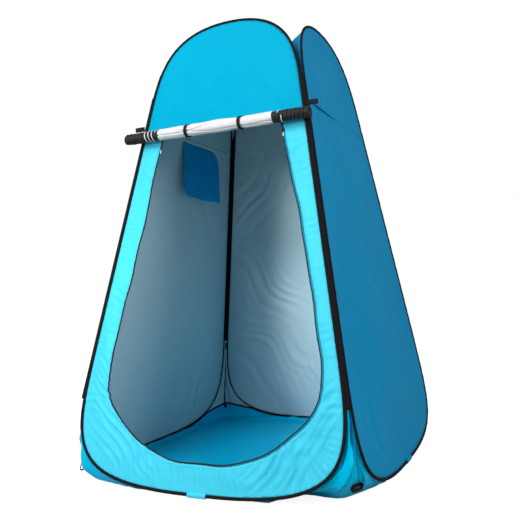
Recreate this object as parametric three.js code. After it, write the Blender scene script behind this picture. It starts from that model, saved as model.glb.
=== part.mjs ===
// Privacy shower tent: four sprung-steel hoops in sewn sleeves, leaning inward and joined at the corners,
// with fabric walls, roof, corner gussets and floor, and a door rolled up and tied above the doorway.
// Millimetres, +Z up, front wall towards -Y, origin on the ground at the centre of the footprint.
import * as THREE from "three";

// ---- Driving dimensions -----------------------------------------------------------------------------
const WALL_REACH = 616.7; // distance of each wall plane from the centre line, at ground level
const LEAN = 0.1583; // inward run of a wall per unit of height
const CORNER_GAP = 14; // hoop centre line to the corner line, along the straight sides
const HOOP_BOTTOM = 11.7; // height of the hoop's centre line at its lowest point
const HOOP_TOP = 1889.8; // height of the hoop's centre line at its apex
const SIDE_LOW = 506; // where the hoop's straight side starts
const SIDE_HIGH = 1543.8; // where the hoop's straight side ends
const BOTTOM_FULLNESS = 600; // handle lengths of the two arcs
const FLARE = 351.6;
const SHOULDER = 141.4;
const TOP_FULLNESS = 303.5;
const JOINT_HALF = 42; // half of the straight stretch at the hoop's joint
const JOINT_STEPS = 1; // facets of half a hoop: joint, lower arc, straight side and upper arc
const LOW_STEPS = 15;
const SIDE_STEPS = 1;
const TOP_STEPS = 9;

const BAND = { thick: 2, wide: 7 }; // spring-steel strip
const FERRULE = { thick: 5.4, wide: 10.4, wall: 1.2, length: 44 }; // crimp that joins the strip's ends
const SLEEVE = { thick: 12, wide: 20, hollowThick: 6.4, hollowWide: 11.4, openEnd: 32 };
const PATCH = { thick: 14, wide: 22.6, wall: 1, length: 78 }; // cloth cuff over the strip's joint

const CLOTH = 1.2; // thickness of a wall panel
const PANEL_INSET = 11.9; // panel edge to hoop centre line
const SEAM_GAP = 0.8;
const FRONT_SEAM = 1400; // height of the seam above the doorway
const WALL_SEAM = 1465; // height of the seam of the other three walls

// Right half of the doorway's edge, from the sill's middle up: distance across and height.
const DOORWAY = [
  [0, 108],
  [190, 130],
  [340, 210],
  [430, 305],
  [457, 400],
  [430, 616],
  [362, 988],
  [284, 1399.2],
];
const DOORWAY_FACETS = 40;
const TAPE = { wide: 8, thick: 1.6, gap: 0.5 };

const WINDOW = { centre: -70, width: 246, low: 1205, high: 1420, corner: 30 };
const FLAP = { width: 300, height: 262, corner: 45, hingeHeight: 1447, hingeReach: 381, thick: 1.2 };

const ROLL = { left: -452, right: 422, height: 1391, standOff: 36.5, radius: 28, core: 23.5, sides: 14 };
const ROLL_TAPE = { left: -270, right: 258, radius: 28.6, groove: 26.6, rib: 22, overhang: 3 };
const TIE = { places: { left: -135.5, right: 115.7 }, wide: 12, inner: 30.4, outer: 32.2, tail: 9 };
const TOGGLE = { radius: 3.4, length: 24 };

const ROOF = { inset: 12, cornerInset: 2.5, centreHeight: 1792, thick: 1.2, cells: 14 };
const GUSSET = { lowParameter: 0.16, highParameter: 0.9, inset: 12, thick: 1.2, across: 10, down: 8 };
const GUSSET_FOOT = { inset: 62, rise: 110, height: 2.6 }; // how the crease tucks in at the ground
const FLOOR = { thick: 1.5, tapeThick: 0.8, tapeGap: 0.4, tapeOuter: 0.975, tapeInner: 0.955, cornerFacets: 8 };
const PEG_LOOP = { long: 46, wide: 26, strap: 7, thick: 2, height: 74, standOff: 5 };
const GUY_LOOP = { long: 64, fold: 7.6, strap: 1.5, wide: 25, height: 1430, reach: 387.5 };
const SLIDER = { height: 1342, long: 15, wide: 9, thick: 2.8, gap: 0.4 };
const PULL = { long: 30, wide: 5, thick: 1.2, gap: 0.9 };

// ---- Colours ----------------------------------------------------------------------------------------
const LOOKS = {
  steel: { color: 0x8d9299, roughness: 0.35, metalness: 1 },
  binding: { color: 0x17171a, roughness: 0.8, metalness: 0 },
  frontCloth: { color: 0x35d0f2, roughness: 0.6, metalness: 0 },
  upperCloth: { color: 0x00b4dc, roughness: 0.6, metalness: 0 },
  wallCloth: { color: 0x0080b4, roughness: 0.6, metalness: 0 },
  floorCloth: { color: 0x0087be, roughness: 0.5, metalness: 0 },
  flapCloth: { color: 0x0a4f9a, roughness: 0.6, metalness: 0 },
  lining: { color: 0xe9ebee, roughness: 0.45, metalness: 0 },
  mesh: { color: 0x3c5566, roughness: 0.9, metalness: 0 },
  webbing: { color: 0x121214, roughness: 0.75, metalness: 0 },
  plastic: { color: 0x1b1b1d, roughness: 0.4, metalness: 0 },
  pull: { color: 0xe8e8e6, roughness: 0.5, metalness: 0 },
};

const tent = new THREE.Group();
tent.name = "privacy_shower_tent";

function add(name, geometry, look) {
  const mesh = new THREE.Mesh(outwardFacing(geometry), new THREE.MeshStandardMaterial(LOOKS[look]));
  mesh.name = name;
  tent.add(mesh);
}

// Turns every triangle over when the body's signed volume is negative.
function outwardFacing(geometry) {
  const flat = geometry.index ? geometry.toNonIndexed() : geometry;
  const position = flat.attributes.position;
  const corner = [new THREE.Vector3(), new THREE.Vector3(), new THREE.Vector3()];
  let volume = 0;
  for (let i = 0; i < position.count; i += 3) {
    corner.forEach((c, k) => c.fromBufferAttribute(position, i + k));
    volume += corner[0].dot(corner[1].clone().cross(corner[2]));
  }
  if (volume < 0) {
    for (let i = 0; i < position.count; i += 3) {
      corner[1].fromBufferAttribute(position, i + 1);
      corner[2].fromBufferAttribute(position, i + 2);
      position.setXYZ(i + 1, corner[2].x, corner[2].y, corner[2].z);
      position.setXYZ(i + 2, corner[1].x, corner[1].y, corner[1].z);
    }
    flat.computeVertexNormals();
  }
  return flat;
}

// ---- Wall planes ------------------------------------------------------------------------------------
// A wall is drawn flat: X across it, Y up its slope, Z outward. Walls follow each other anticlockwise.
const SLOPE = Math.hypot(1, LEAN); // length up the slope per unit of height
const WALLS = ["front", "right", "back", "left"];

function wallMatrix(wall) {
  const upright = new THREE.Matrix4().makeBasis(
    new THREE.Vector3(1, 0, 0),
    new THREE.Vector3(0, LEAN / SLOPE, 1 / SLOPE),
    new THREE.Vector3(0, -1 / SLOPE, LEAN / SLOPE),
  );
  upright.setPosition(0, -WALL_REACH, 0);
  return new THREE.Matrix4().makeRotationZ(WALLS.indexOf(wall) * Math.PI / 2).multiply(upright);
}

function onWall(wall, across, height, outward = 0) {
  return new THREE.Vector3(across, height * SLOPE, outward).applyMatrix4(wallMatrix(wall));
}

function reachAt(height) {
  return WALL_REACH - LEAN * height;
}

function flatPoint(across, height) {
  return new THREE.Vector2(across, height * SLOPE);
}

// A plate on a wall, its thickness centred on the given distance outward.
function plate(wall, shape, thick, outward = 0) {
  const geometry = new THREE.ExtrudeGeometry(shape, { depth: thick, bevelEnabled: false, curveSegments: 3 });
  geometry.translate(0, 0, outward - thick / 2);
  return geometry.applyMatrix4(wallMatrix(wall));
}

// ---- Hoop curve -------------------------------------------------------------------------------------
const sideAt = (height) => reachAt(height) - CORNER_GAP;
const upSide = new THREE.Vector2(-LEAN, SLOPE);
const lowArc = new THREE.CubicBezierCurve(
  flatPoint(JOINT_HALF, HOOP_BOTTOM),
  flatPoint(BOTTOM_FULLNESS, HOOP_BOTTOM),
  flatPoint(sideAt(SIDE_LOW), SIDE_LOW).addScaledVector(upSide, -FLARE),
  flatPoint(sideAt(SIDE_LOW), SIDE_LOW),
);
const highArc = new THREE.CubicBezierCurve(
  flatPoint(sideAt(SIDE_HIGH), SIDE_HIGH),
  flatPoint(sideAt(SIDE_HIGH), SIDE_HIGH).addScaledVector(upSide, SHOULDER),
  flatPoint(TOP_FULLNESS, HOOP_TOP),
  flatPoint(0, HOOP_TOP),
);
const HALF_STEPS = JOINT_STEPS + LOW_STEPS + SIDE_STEPS + TOP_STEPS;
const HOOP_STEPS = 2 * HALF_STEPS;

// The hoop's centre line from its bottom, round by +X, over the apex and back; its ends stop short of the joint.
class HoopCurve extends THREE.Curve {
  constructor(openEnd) {
    super();
    this.end = flatPoint(openEnd, HOOP_BOTTOM);
  }

  getPoint(u, target = new THREE.Vector3()) {
    const step = Math.min(u, 1 - u) * HOOP_STEPS;
    const sideStart = JOINT_STEPS + LOW_STEPS;
    const topStart = sideStart + SIDE_STEPS;
    let flat;
    if (step <= JOINT_STEPS) {
      flat = this.end.clone().lerp(lowArc.getPoint(0), step / JOINT_STEPS);
    } else if (step <= sideStart) {
      flat = lowArc.getPoint((step - JOINT_STEPS) / LOW_STEPS);
    } else if (step <= topStart) {
      flat = lowArc.getPoint(1).lerp(highArc.getPoint(0), (step - sideStart) / SIDE_STEPS);
    } else {
      flat = highArc.getPoint(Math.min(1, (step - topStart) / TOP_STEPS));
    }
    return target.set(u <= 0.5 ? flat.x : -flat.x, flat.y, 0);
  }

  getPointAt(u, target) {
    return this.getPoint(u, target);
  }

  getTangentAt(u, target) {
    return this.getTangent(u, target);
  }
}

function hoopOutline() {
  const curve = new HoopCurve(0);
  const points = [];
  for (let i = 0; i < HOOP_STEPS; i++) {
    const p = curve.getPoint(i / HOOP_STEPS);
    points.push(new THREE.Vector2(p.x, p.y));
  }
  return points;
}

// Moves a path to its left by a distance, keeping its edges parallel.
function offsetPath(points, distance, closed) {
  return points.map((p, i) => {
    const last = points.length - 1;
    const before = points[i > 0 ? i - 1 : closed ? last : 0];
    const after = points[i < last ? i + 1 : closed ? 0 : last];
    const a = (i > 0 || closed ? p.clone().sub(before) : after.clone().sub(p)).normalize();
    const b = (i < last || closed ? after.clone().sub(p) : p.clone().sub(before)).normalize();
    const normal = new THREE.Vector2(-a.y - b.y, a.x + b.x).normalize();
    const across = new THREE.Vector2(-a.y, a.x);
    return p.clone().addScaledVector(normal, distance / normal.dot(across));
  });
}

// ---- Hoops, sleeves and joints ----------------------------------------------------------------------
function oval(thick, wide) {
  const points = [];
  for (let i = 0; i < 8; i++) {
    const angle = i * Math.PI / 4;
    points.push(new THREE.Vector2(Math.cos(angle) * thick / 2, Math.sin(angle) * wide / 2));
  }
  return points;
}

function rectangle(thick, wide) {
  const x = thick / 2;
  const y = wide / 2;
  return [[x, -y], [x, y], [-x, y], [-x, -y]].map(([a, b]) => new THREE.Vector2(a, b));
}

function section(outer, inner) {
  const shape = new THREE.Shape(outer);
  if (inner) {
    shape.holes.push(new THREE.Path(inner));
  }
  return shape;
}

function alongHoop(shape, openEnd, wall) {
  const options = { steps: HOOP_STEPS, extrudePath: new HoopCurve(openEnd), bevelEnabled: false };
  return new THREE.ExtrudeGeometry(shape, options).applyMatrix4(wallMatrix(wall));
}

// A straight tube across the hoop's joint at the middle of its bottom.
function acrossJoint(shape, length, wall) {
  const geometry = new THREE.ExtrudeGeometry(shape, { depth: length, bevelEnabled: false });
  geometry.translate(0, 0, -length / 2);
  geometry.rotateY(Math.PI / 2);
  geometry.translate(0, HOOP_BOTTOM * SLOPE, 0);
  return geometry.applyMatrix4(wallMatrix(wall));
}

for (const wall of WALLS) {
  add(`hoop_${wall}`, alongHoop(section(rectangle(BAND.thick, BAND.wide)), 0.6, wall), "steel");
  add(
    `sleeve_${wall}`,
    alongHoop(
      section(oval(SLEEVE.thick, SLEEVE.wide), rectangle(SLEEVE.hollowThick, SLEEVE.hollowWide)),
      SLEEVE.openEnd,
      wall,
    ),
    "binding",
  );
  const ferruleHole = rectangle(FERRULE.thick - 2 * FERRULE.wall, FERRULE.wide - 2 * FERRULE.wall);
  add(
    `ferrule_${wall}`,
    acrossJoint(section(rectangle(FERRULE.thick, FERRULE.wide), ferruleHole), FERRULE.length, wall),
    "steel",
  );
  const patchHole = oval(PATCH.thick - 2 * PATCH.wall, PATCH.wide - 2 * PATCH.wall);
  add(
    `joint_patch_${wall}`,
    acrossJoint(section(oval(PATCH.thick, PATCH.wide), patchHole), PATCH.length, wall),
    "wallCloth",
  );
}

// ---- Wall panels ------------------------------------------------------------------------------------
const wallOutline = offsetPath(hoopOutline(), PANEL_INSET, true);

// The part of the wall outline above or below a height, cut straight across.
function cutOutline(height, keepAbove) {
  const level = height * SLOPE;
  const kept = [];
  wallOutline.forEach((p, i) => {
    const next = wallOutline[(i + 1) % wallOutline.length];
    if (p.y > level === keepAbove) {
      kept.push(p.clone());
    }
    if (p.y > level !== next.y > level) {
      kept.push(p.clone().lerp(next, (level - p.y) / (next.y - p.y)));
    }
  });
  return kept;
}

function roundedRectangle(left, low, right, high, corner) {
  const shape = new THREE.Shape();
  shape.moveTo(left + corner, low);
  shape.lineTo(right - corner, low);
  shape.absarc(right - corner, low + corner, corner, -Math.PI / 2, 0);
  shape.lineTo(right, high - corner);
  shape.absarc(right - corner, high - corner, corner, 0, Math.PI / 2);
  shape.lineTo(left + corner, high);
  shape.absarc(left + corner, high - corner, corner, Math.PI / 2, Math.PI);
  shape.lineTo(left, low + corner);
  shape.absarc(left + corner, low + corner, corner, Math.PI, 1.5 * Math.PI);
  return shape;
}

function windowShape(gap) {
  const half = WINDOW.width / 2 - gap;
  const low = WINDOW.low * SLOPE + gap;
  const high = WINDOW.high * SLOPE - gap;
  return roundedRectangle(WINDOW.centre - half, low, WINDOW.centre + half, high, WINDOW.corner - gap);
}

for (const wall of ["right", "back", "left"]) {
  const lower = new THREE.Shape(cutOutline(WALL_SEAM - SEAM_GAP / 2, false));
  if (wall === "left") {
    lower.holes.push(windowShape(0));
  }
  add(`${wall}_lower_panel`, plate(wall, lower, CLOTH), "wallCloth");
  const upper = new THREE.Shape(cutOutline(WALL_SEAM + SEAM_GAP / 2, true));
  add(`${wall}_upper_panel`, plate(wall, upper, CLOTH), "wallCloth");
}
add("window_mesh", plate("left", windowShape(0.4), CLOTH), "mesh");
const aboveDoorway = new THREE.Shape(cutOutline(FRONT_SEAM + SEAM_GAP / 2, true));
add("front_upper_panel", plate("front", aboveDoorway, CLOTH), "upperCloth");

// The doorway's edge, from the top left down, across the sill and up to the top right.
const rightEdge = DOORWAY.map(([across, height]) => flatPoint(across, height));
const leftEdge = rightEdge.slice(1).reverse().map((p) => new THREE.Vector2(-p.x, p.y));
const doorwayEdge = new THREE.SplineCurve([...leftEdge, ...rightEdge]).getPoints(DOORWAY_FACETS);

function doorSurround() {
  const outer = cutOutline(FRONT_SEAM - SEAM_GAP / 2, false);
  const rightTop = outer.reduce((best, p, i) => (p.x > 0 && p.y > outer[best].y ? i : best), 0);
  const ring = [...outer.slice(rightTop + 1), ...outer.slice(0, rightTop + 1)];
  return new THREE.Shape([...ring, ...doorwayEdge.slice().reverse()]);
}

function edgeStrip(path, near, far) {
  return new THREE.Shape([...offsetPath(path, near, false), ...offsetPath(path, far, false).reverse()]);
}

add("door_surround", plate("front", doorSurround(), CLOTH), "frontCloth");
add("door_zip_tape", plate("front", edgeStrip(doorwayEdge, TAPE.gap, TAPE.gap + TAPE.wide), TAPE.thick), "binding");

// ---- Window flap, hanging straight down inside the left wall ------------------------------------------
function windowFlap() {
  const half = FLAP.width / 2;
  const shape = new THREE.Shape();
  shape.moveTo(-half, 0);
  shape.lineTo(-half, -FLAP.height);
  shape.lineTo(half - FLAP.corner, -FLAP.height);
  shape.absarc(half - FLAP.corner, -FLAP.height + FLAP.corner, FLAP.corner, -Math.PI / 2, 0);
  shape.lineTo(half, 0);
  const geometry = new THREE.ExtrudeGeometry(shape, { depth: FLAP.thick, bevelEnabled: false, curveSegments: 6 });
  geometry.translate(0, 0, -FLAP.thick / 2);
  geometry.rotateX(Math.PI / 2);
  geometry.rotateZ(-Math.PI / 2);
  geometry.translate(-FLAP.hingeReach, -WINDOW.centre, FLAP.hingeHeight);
  return geometry;
}
add("window_flap", windowFlap(), "flapCloth");

// ---- Thin fabric skins that join edges in different planes ----------------------------------------------
// A closed skin of even thickness on a surface point(a, b) over the unit square.
function skin(point, outward, thick, across, down) {
  const corners = [];
  const at = (i, j, side) => point(i / across, j / down).addScaledVector(outward, side * thick / 2);
  const quad = (p, q, r, s) => corners.push(p, q, r, p, r, s);
  for (let i = 0; i < across; i++) {
    for (let j = 0; j < down; j++) {
      quad(at(i, j, 1), at(i, j + 1, 1), at(i + 1, j + 1, 1), at(i + 1, j, 1));
      quad(at(i, j, -1), at(i + 1, j, -1), at(i + 1, j + 1, -1), at(i, j + 1, -1));
    }
    quad(at(i, 0, 1), at(i + 1, 0, 1), at(i + 1, 0, -1), at(i, 0, -1));
    quad(at(i, down, 1), at(i, down, -1), at(i + 1, down, -1), at(i + 1, down, 1));
  }
  for (let j = 0; j < down; j++) {
    quad(at(0, j, 1), at(0, j, -1), at(0, j + 1, -1), at(0, j + 1, 1));
    quad(at(across, j, 1), at(across, j + 1, 1), at(across, j + 1, -1), at(across, j, -1));
  }
  return new THREE.BufferGeometry().setFromPoints(corners);
}

// Roof: from each hoop's top arc to a middle a little below the apexes.
function roofEdge(wall, along) {
  const flat = highArc.getPoint(1 - Math.abs(along));
  const pull = ROOF.cornerInset * Math.abs(along) ** 8;
  const across = Math.sign(along) * (flat.x + pull);
  const height = flat.y / SLOPE;
  const edge = new THREE.Vector3(across, -(reachAt(height) - ROOF.inset - pull), height);
  return edge.applyAxisAngle(new THREE.Vector3(0, 0, 1), WALLS.indexOf(wall) * Math.PI / 2);
}

function roofPoint(a, b) {
  const x = 2 * a - 1;
  const y = 2 * b - 1;
  const ring = Math.max(Math.abs(x), Math.abs(y), 1e-6);
  let edge;
  if (Math.abs(y) >= Math.abs(x)) {
    edge = y < 0 ? roofEdge("front", x / ring) : roofEdge("back", -x / ring);
  } else {
    edge = x > 0 ? roofEdge("right", y / ring) : roofEdge("left", -y / ring);
  }
  const height = ROOF.centreHeight + (edge.z - ROOF.centreHeight) * ring ** 2.5;
  return new THREE.Vector3(edge.x * ring, edge.y * ring, height);
}
const up = new THREE.Vector3(0, 0, 1);
add("roof_panel", skin(roofPoint, up, ROOF.thick, ROOF.cells, ROOF.cells), "upperCloth");

// Gusset of the front right corner: between two hoops' lower arcs and the floor, with a crease down its middle.
const gussetTop = lowArc.getPoint(GUSSET.highParameter).y / SLOPE;

function gussetPoint(across, down) {
  const parameter = THREE.MathUtils.lerp(GUSSET.highParameter, GUSSET.lowParameter, down);
  const flat = lowArc.getPoint(parameter);
  const height = flat.y / SLOPE;
  const behind = reachAt(height) - GUSSET.inset;
  const frontEdge = new THREE.Vector3(flat.x, -behind, height);
  const rightEdgePoint = new THREE.Vector3(behind, -flat.x, height);
  const creaseHeight = THREE.MathUtils.lerp(gussetTop, GUSSET_FOOT.height, down);
  const tuck = Math.max(0, 1 - creaseHeight / GUSSET_FOOT.rise) ** 2;
  const creaseReach = reachAt(creaseHeight) - CORNER_GAP + 1 - GUSSET_FOOT.inset * tuck;
  const crease = new THREE.Vector3(creaseReach, -creaseReach, creaseHeight);
  const softness = 0.1 + 0.2 * down ** 3;
  const weight = (w) => (Math.hypot(w, softness) + w - (Math.hypot(1, softness) - 1)) / 2;
  const w = 2 * across - 1;
  return crease.clone()
    .addScaledVector(frontEdge.sub(crease), weight(-w))
    .addScaledVector(rightEdgePoint.sub(crease), weight(w));
}

const CORNERS = ["front_right", "back_right", "back_left", "front_left"];
const cornerOut = new THREE.Vector3(1, -1, 0).normalize();
CORNERS.forEach((corner, i) => {
  const geometry = skin(gussetPoint, cornerOut, GUSSET.thick, GUSSET.across, GUSSET.down);
  add(`gusset_${corner}`, geometry.rotateZ(i * Math.PI / 2), "wallCloth");
});

// ---- Floor --------------------------------------------------------------------------------------------
function floorOutline(scale) {
  const points = [];
  CORNERS.forEach((corner, i) => {
    for (let k = 0; k <= FLOOR.cornerFacets; k++) {
      const p = gussetPoint(k / FLOOR.cornerFacets, 1).applyAxisAngle(up, i * Math.PI / 2).multiplyScalar(scale);
      points.push(new THREE.Vector2(p.x, p.y));
    }
  });
  return points;
}
const floorSheet = new THREE.Shape(floorOutline(1));
add("floor", new THREE.ExtrudeGeometry(floorSheet, { depth: FLOOR.thick, bevelEnabled: false }), "floorCloth");
const tapeRing = section(floorOutline(FLOOR.tapeOuter), floorOutline(FLOOR.tapeInner));
const floorTape = new THREE.ExtrudeGeometry(tapeRing, { depth: FLOOR.tapeThick, bevelEnabled: false });
add("floor_seam_tape", floorTape.translate(0, 0, FLOOR.thick + FLOOR.tapeGap), "binding");

// ---- Webbing loops ------------------------------------------------------------------------------------
CORNERS.forEach((corner, i) => {
  const { long, wide, strap, thick, height, standOff } = PEG_LOOP;
  const shape = roundedRectangle(-wide / 2, -long, wide / 2, 0, 8);
  shape.holes.push(roundedRectangle(-wide / 2 + strap, -long + strap, wide / 2 - strap, -strap, 3));
  const geometry = new THREE.ExtrudeGeometry(shape, { depth: thick, bevelEnabled: false, curveSegments: 3 });
  geometry.rotateX(Math.PI / 2);
  geometry.rotateZ(Math.PI / 4);
  const crease = gussetPoint(0.5, 1 - height / gussetTop);
  crease.addScaledVector(cornerOut, standOff);
  geometry.translate(crease.x, crease.y, height);
  add(`peg_loop_${corner}`, geometry.rotateZ(i * Math.PI / 2), "webbing");
});

for (const side of [1, -1]) {
  const { long, fold, strap, wide, height, reach } = GUY_LOOP;
  const shape = roundedRectangle(0, -fold / 2, long, fold / 2, fold / 2 - 0.1);
  const inner = fold / 2 - strap;
  shape.holes.push(roundedRectangle(strap, -inner, long - strap, inner, inner - 0.1));
  const geometry = new THREE.ExtrudeGeometry(shape, { depth: wide, bevelEnabled: false, curveSegments: 4 });
  geometry.translate(reach, -reach - fold / 2, height);
  if (side < 0) {
    geometry.scale(-1, 1, 1);
  }
  add(`guy_loop_front_${side > 0 ? "right" : "left"}`, geometry, "webbing");
}

// ---- Door, rolled up above the doorway ------------------------------------------------------------------
const rollBase = onWall("front", 0, ROLL.height - ROLL.standOff * LEAN / SLOPE, ROLL.standOff);

function aboutRoll(profile) {
  const geometry = new THREE.LatheGeometry(profile.map(([x, r]) => new THREE.Vector2(r, x)), ROLL.sides);
  geometry.rotateZ(-Math.PI / 2);
  return geometry.translate(0, rollBase.y, rollBase.z);
}

const leftTape = ROLL_TAPE.left;
const rightTape = ROLL_TAPE.right;
const clothProfile = [
  [ROLL.left, 0],
  [ROLL.left, ROLL.core],
  [leftTape, ROLL.core],
  [leftTape + 0.5, ROLL.radius],
  [leftTape + 110, ROLL.radius - 2],
  [TIE.places.left, ROLL.radius - 1],
  [-10, ROLL.radius],
  [TIE.places.right, ROLL.radius - 1],
  [rightTape - 60, ROLL.radius - 0.5],
  [rightTape - 0.5, ROLL.radius],
  [rightTape, ROLL.core],
  [ROLL.right, ROLL.core],
  [ROLL.right, 0],
];
add("door_roll", aboutRoll(clothProfile), "lining");

// Zip tape wound round the ends of the roll, in ribs.
function woundTape(from, to) {
  const ribs = Math.round(Math.abs(to - from) / ROLL_TAPE.rib);
  const pitch = (to - from) / ribs;
  const inner = ROLL.core + 0.4;
  const profile = [[from, inner], [from, ROLL_TAPE.groove]];
  for (let i = 0; i < ribs; i++) {
    profile.push([from + (i + 0.2) * pitch, ROLL_TAPE.radius]);
    profile.push([from + (i + 0.8) * pitch, ROLL_TAPE.radius]);
    profile.push([from + (i + 1) * pitch, ROLL_TAPE.groove]);
  }
  profile.push([to, inner], [from, inner]);
  return aboutRoll(profile);
}
add("roll_tape_left", woundTape(leftTape - 0.4, ROLL.left + ROLL_TAPE.overhang), "binding");
add("roll_tape_right", woundTape(rightTape + 0.4, ROLL.right - ROLL_TAPE.overhang), "binding");

// Ties: a strap round the roll with a tail to the seam, closed by a toggle underneath.
for (const [side, place] of Object.entries(TIE.places)) {
  const toWall = Math.atan2(LEAN, -1) - 0.5;
  const halfTail = TIE.tail / 2 / TIE.outer;
  const strap = new THREE.Shape();
  strap.absarc(0, 0, TIE.outer, toWall + halfTail, toWall - halfTail + 2 * Math.PI);
  const tailEnd = TIE.outer + 1.5;
  strap.lineTo(tailEnd * Math.cos(toWall - halfTail), tailEnd * Math.sin(toWall - halfTail));
  strap.lineTo(tailEnd * Math.cos(toWall + halfTail), tailEnd * Math.sin(toWall + halfTail));
  strap.closePath();
  const hole = new THREE.Path();
  hole.absarc(0, 0, TIE.inner, 0, 2 * Math.PI);
  strap.holes.push(hole);
  const geometry = new THREE.ExtrudeGeometry(strap, { depth: TIE.wide, bevelEnabled: false, curveSegments: 12 });
  geometry.translate(0, 0, -TIE.wide / 2);
  geometry.rotateZ(Math.PI);
  geometry.rotateX(Math.PI / 2);
  geometry.rotateZ(Math.PI / 2);
  geometry.translate(place, rollBase.y, rollBase.z);
  add(`tie_${side}`, geometry, "webbing");
  const toggle = new THREE.CapsuleGeometry(TOGGLE.radius, TOGGLE.length - 2 * TOGGLE.radius, 3, 8);
  toggle.rotateZ(Math.PI / 2);
  toggle.translate(place, rollBase.y, rollBase.z - TIE.outer - 0.5 - TOGGLE.radius);
  add(`toggle_${side}`, toggle, "plastic");
}

// ---- Zip sliders and pulls, parked at the top of the doorway's two edges ---------------------------------
const tapeLine = offsetPath(doorwayEdge, TAPE.gap + TAPE.wide / 2, false);

function tapeAcross(height) {
  const level = height * SLOPE;
  const i = tapeLine.findIndex((p, k) => k > 0 && p.x > 0 && p.y >= level);
  const a = tapeLine[i - 1];
  const b = tapeLine[i];
  return THREE.MathUtils.mapLinear(level, a.y, b.y, a.x, b.x);
}

for (const side of [1, -1]) {
  const name = side > 0 ? "right" : "left";
  const across = side * tapeAcross(SLIDER.height);
  const level = SLIDER.height * SLOPE;
  const top = level + SLIDER.long / 2;
  const body = roundedRectangle(across - SLIDER.wide / 2, top - SLIDER.long, across + SLIDER.wide / 2, top, 2.5);
  const bodyOut = TAPE.thick / 2 + SLIDER.gap + SLIDER.thick / 2;
  add(`zip_slider_${name}`, plate("front", body, SLIDER.thick, bodyOut), "plastic");
  const pullTop = top - SLIDER.long - PULL.gap;
  const tag = roundedRectangle(across - PULL.wide / 2, pullTop - PULL.long, across + PULL.wide / 2, pullTop, 2);
  tag.holes.push(roundedRectangle(across - 1.1, pullTop - 4.5, across + 1.1, pullTop - 1.5, 0.8));
  add(`zip_pull_${name}`, plate("front", tag, PULL.thick, bodyOut), "pull");
}

export default tent;
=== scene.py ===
import math

import bpy
import numpy as np
from mathutils import Matrix, Vector, geometry, kdtree


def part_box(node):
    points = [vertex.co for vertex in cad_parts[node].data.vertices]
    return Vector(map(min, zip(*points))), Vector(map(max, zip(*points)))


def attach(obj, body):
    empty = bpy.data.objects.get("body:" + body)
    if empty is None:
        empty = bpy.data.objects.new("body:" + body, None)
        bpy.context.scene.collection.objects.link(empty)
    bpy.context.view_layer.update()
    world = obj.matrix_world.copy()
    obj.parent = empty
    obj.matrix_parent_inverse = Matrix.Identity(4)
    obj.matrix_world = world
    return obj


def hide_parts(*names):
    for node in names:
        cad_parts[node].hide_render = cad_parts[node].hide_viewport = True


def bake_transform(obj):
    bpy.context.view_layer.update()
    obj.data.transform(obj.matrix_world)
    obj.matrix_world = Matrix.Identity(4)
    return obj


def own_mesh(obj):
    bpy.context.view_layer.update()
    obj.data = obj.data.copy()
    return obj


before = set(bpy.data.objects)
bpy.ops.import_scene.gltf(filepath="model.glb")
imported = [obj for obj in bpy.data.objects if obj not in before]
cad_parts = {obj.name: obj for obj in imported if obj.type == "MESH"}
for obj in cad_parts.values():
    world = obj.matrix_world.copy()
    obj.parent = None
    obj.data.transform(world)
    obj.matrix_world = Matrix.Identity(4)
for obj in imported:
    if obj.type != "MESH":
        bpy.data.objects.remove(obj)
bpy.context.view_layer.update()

# ---- Driving dimensions, the same as the CAD's --------------------------------------------------------
REACH = 0.6167  # distance of each wall plane from the centre line, at ground level
LEAN = 0.1583  # inward run of a wall per unit of height
SLOPE = math.hypot(1, LEAN)
CORNER_GAP = 0.014  # hoop centre line to the corner line, along the straight sides
HOOP_BOTTOM, HOOP_TOP = 0.0117, 1.8898
SIDE_LOW, SIDE_HIGH = 0.506, 1.5438
JOINT_HALF = 0.042
BOTTOM_FULLNESS, FLARE, SHOULDER, TOP_FULLNESS = 0.600, 0.3516, 0.1414, 0.3035
FRONT_SEAM, WALL_SEAM = 1.400, 1.465
WALLS = ("front", "right", "back", "left")
CORNERS = ("front_right", "back_right", "back_left", "front_left")

CLOTH = 0.0008  # thickness of a cloth panel
TUCK = 0.0038  # panel edge to hoop centre line: the edge is sewn into the binding
SPACING = 0.011  # distance between the points of a cloth panel
LAP = 0.011  # overlap of two panels at a seam

# ---- Colours, sRGB ------------------------------------------------------------------------------------
LIGHT_CYAN = (64, 194, 222)
CYAN = (0, 153, 188)
BRIGHT_BLUE = (0, 178, 218)
BLUE = (0, 132, 180)
FLOOR_BLUE = (0, 184, 232)
FLAP_BLUE = (4, 150, 214)
ZIP_TEAL = (28, 140, 172)
SILVER = (178, 206, 214)
LINING = (206, 207, 210)
BINDING = (9, 8, 11)
WEBBING = (10, 9, 12)
THREAD = (70, 66, 70)
STEEL = (150, 154, 160)
WHITE = (232, 232, 230)


def linear(colour):
    """An sRGB colour of three bytes as linear RGBA."""
    share = [c / 255 for c in colour]
    return [c / 12.92 if c <= 0.04045 else ((c + 0.055) / 1.055) ** 2.4 for c in share] + [1]


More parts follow.
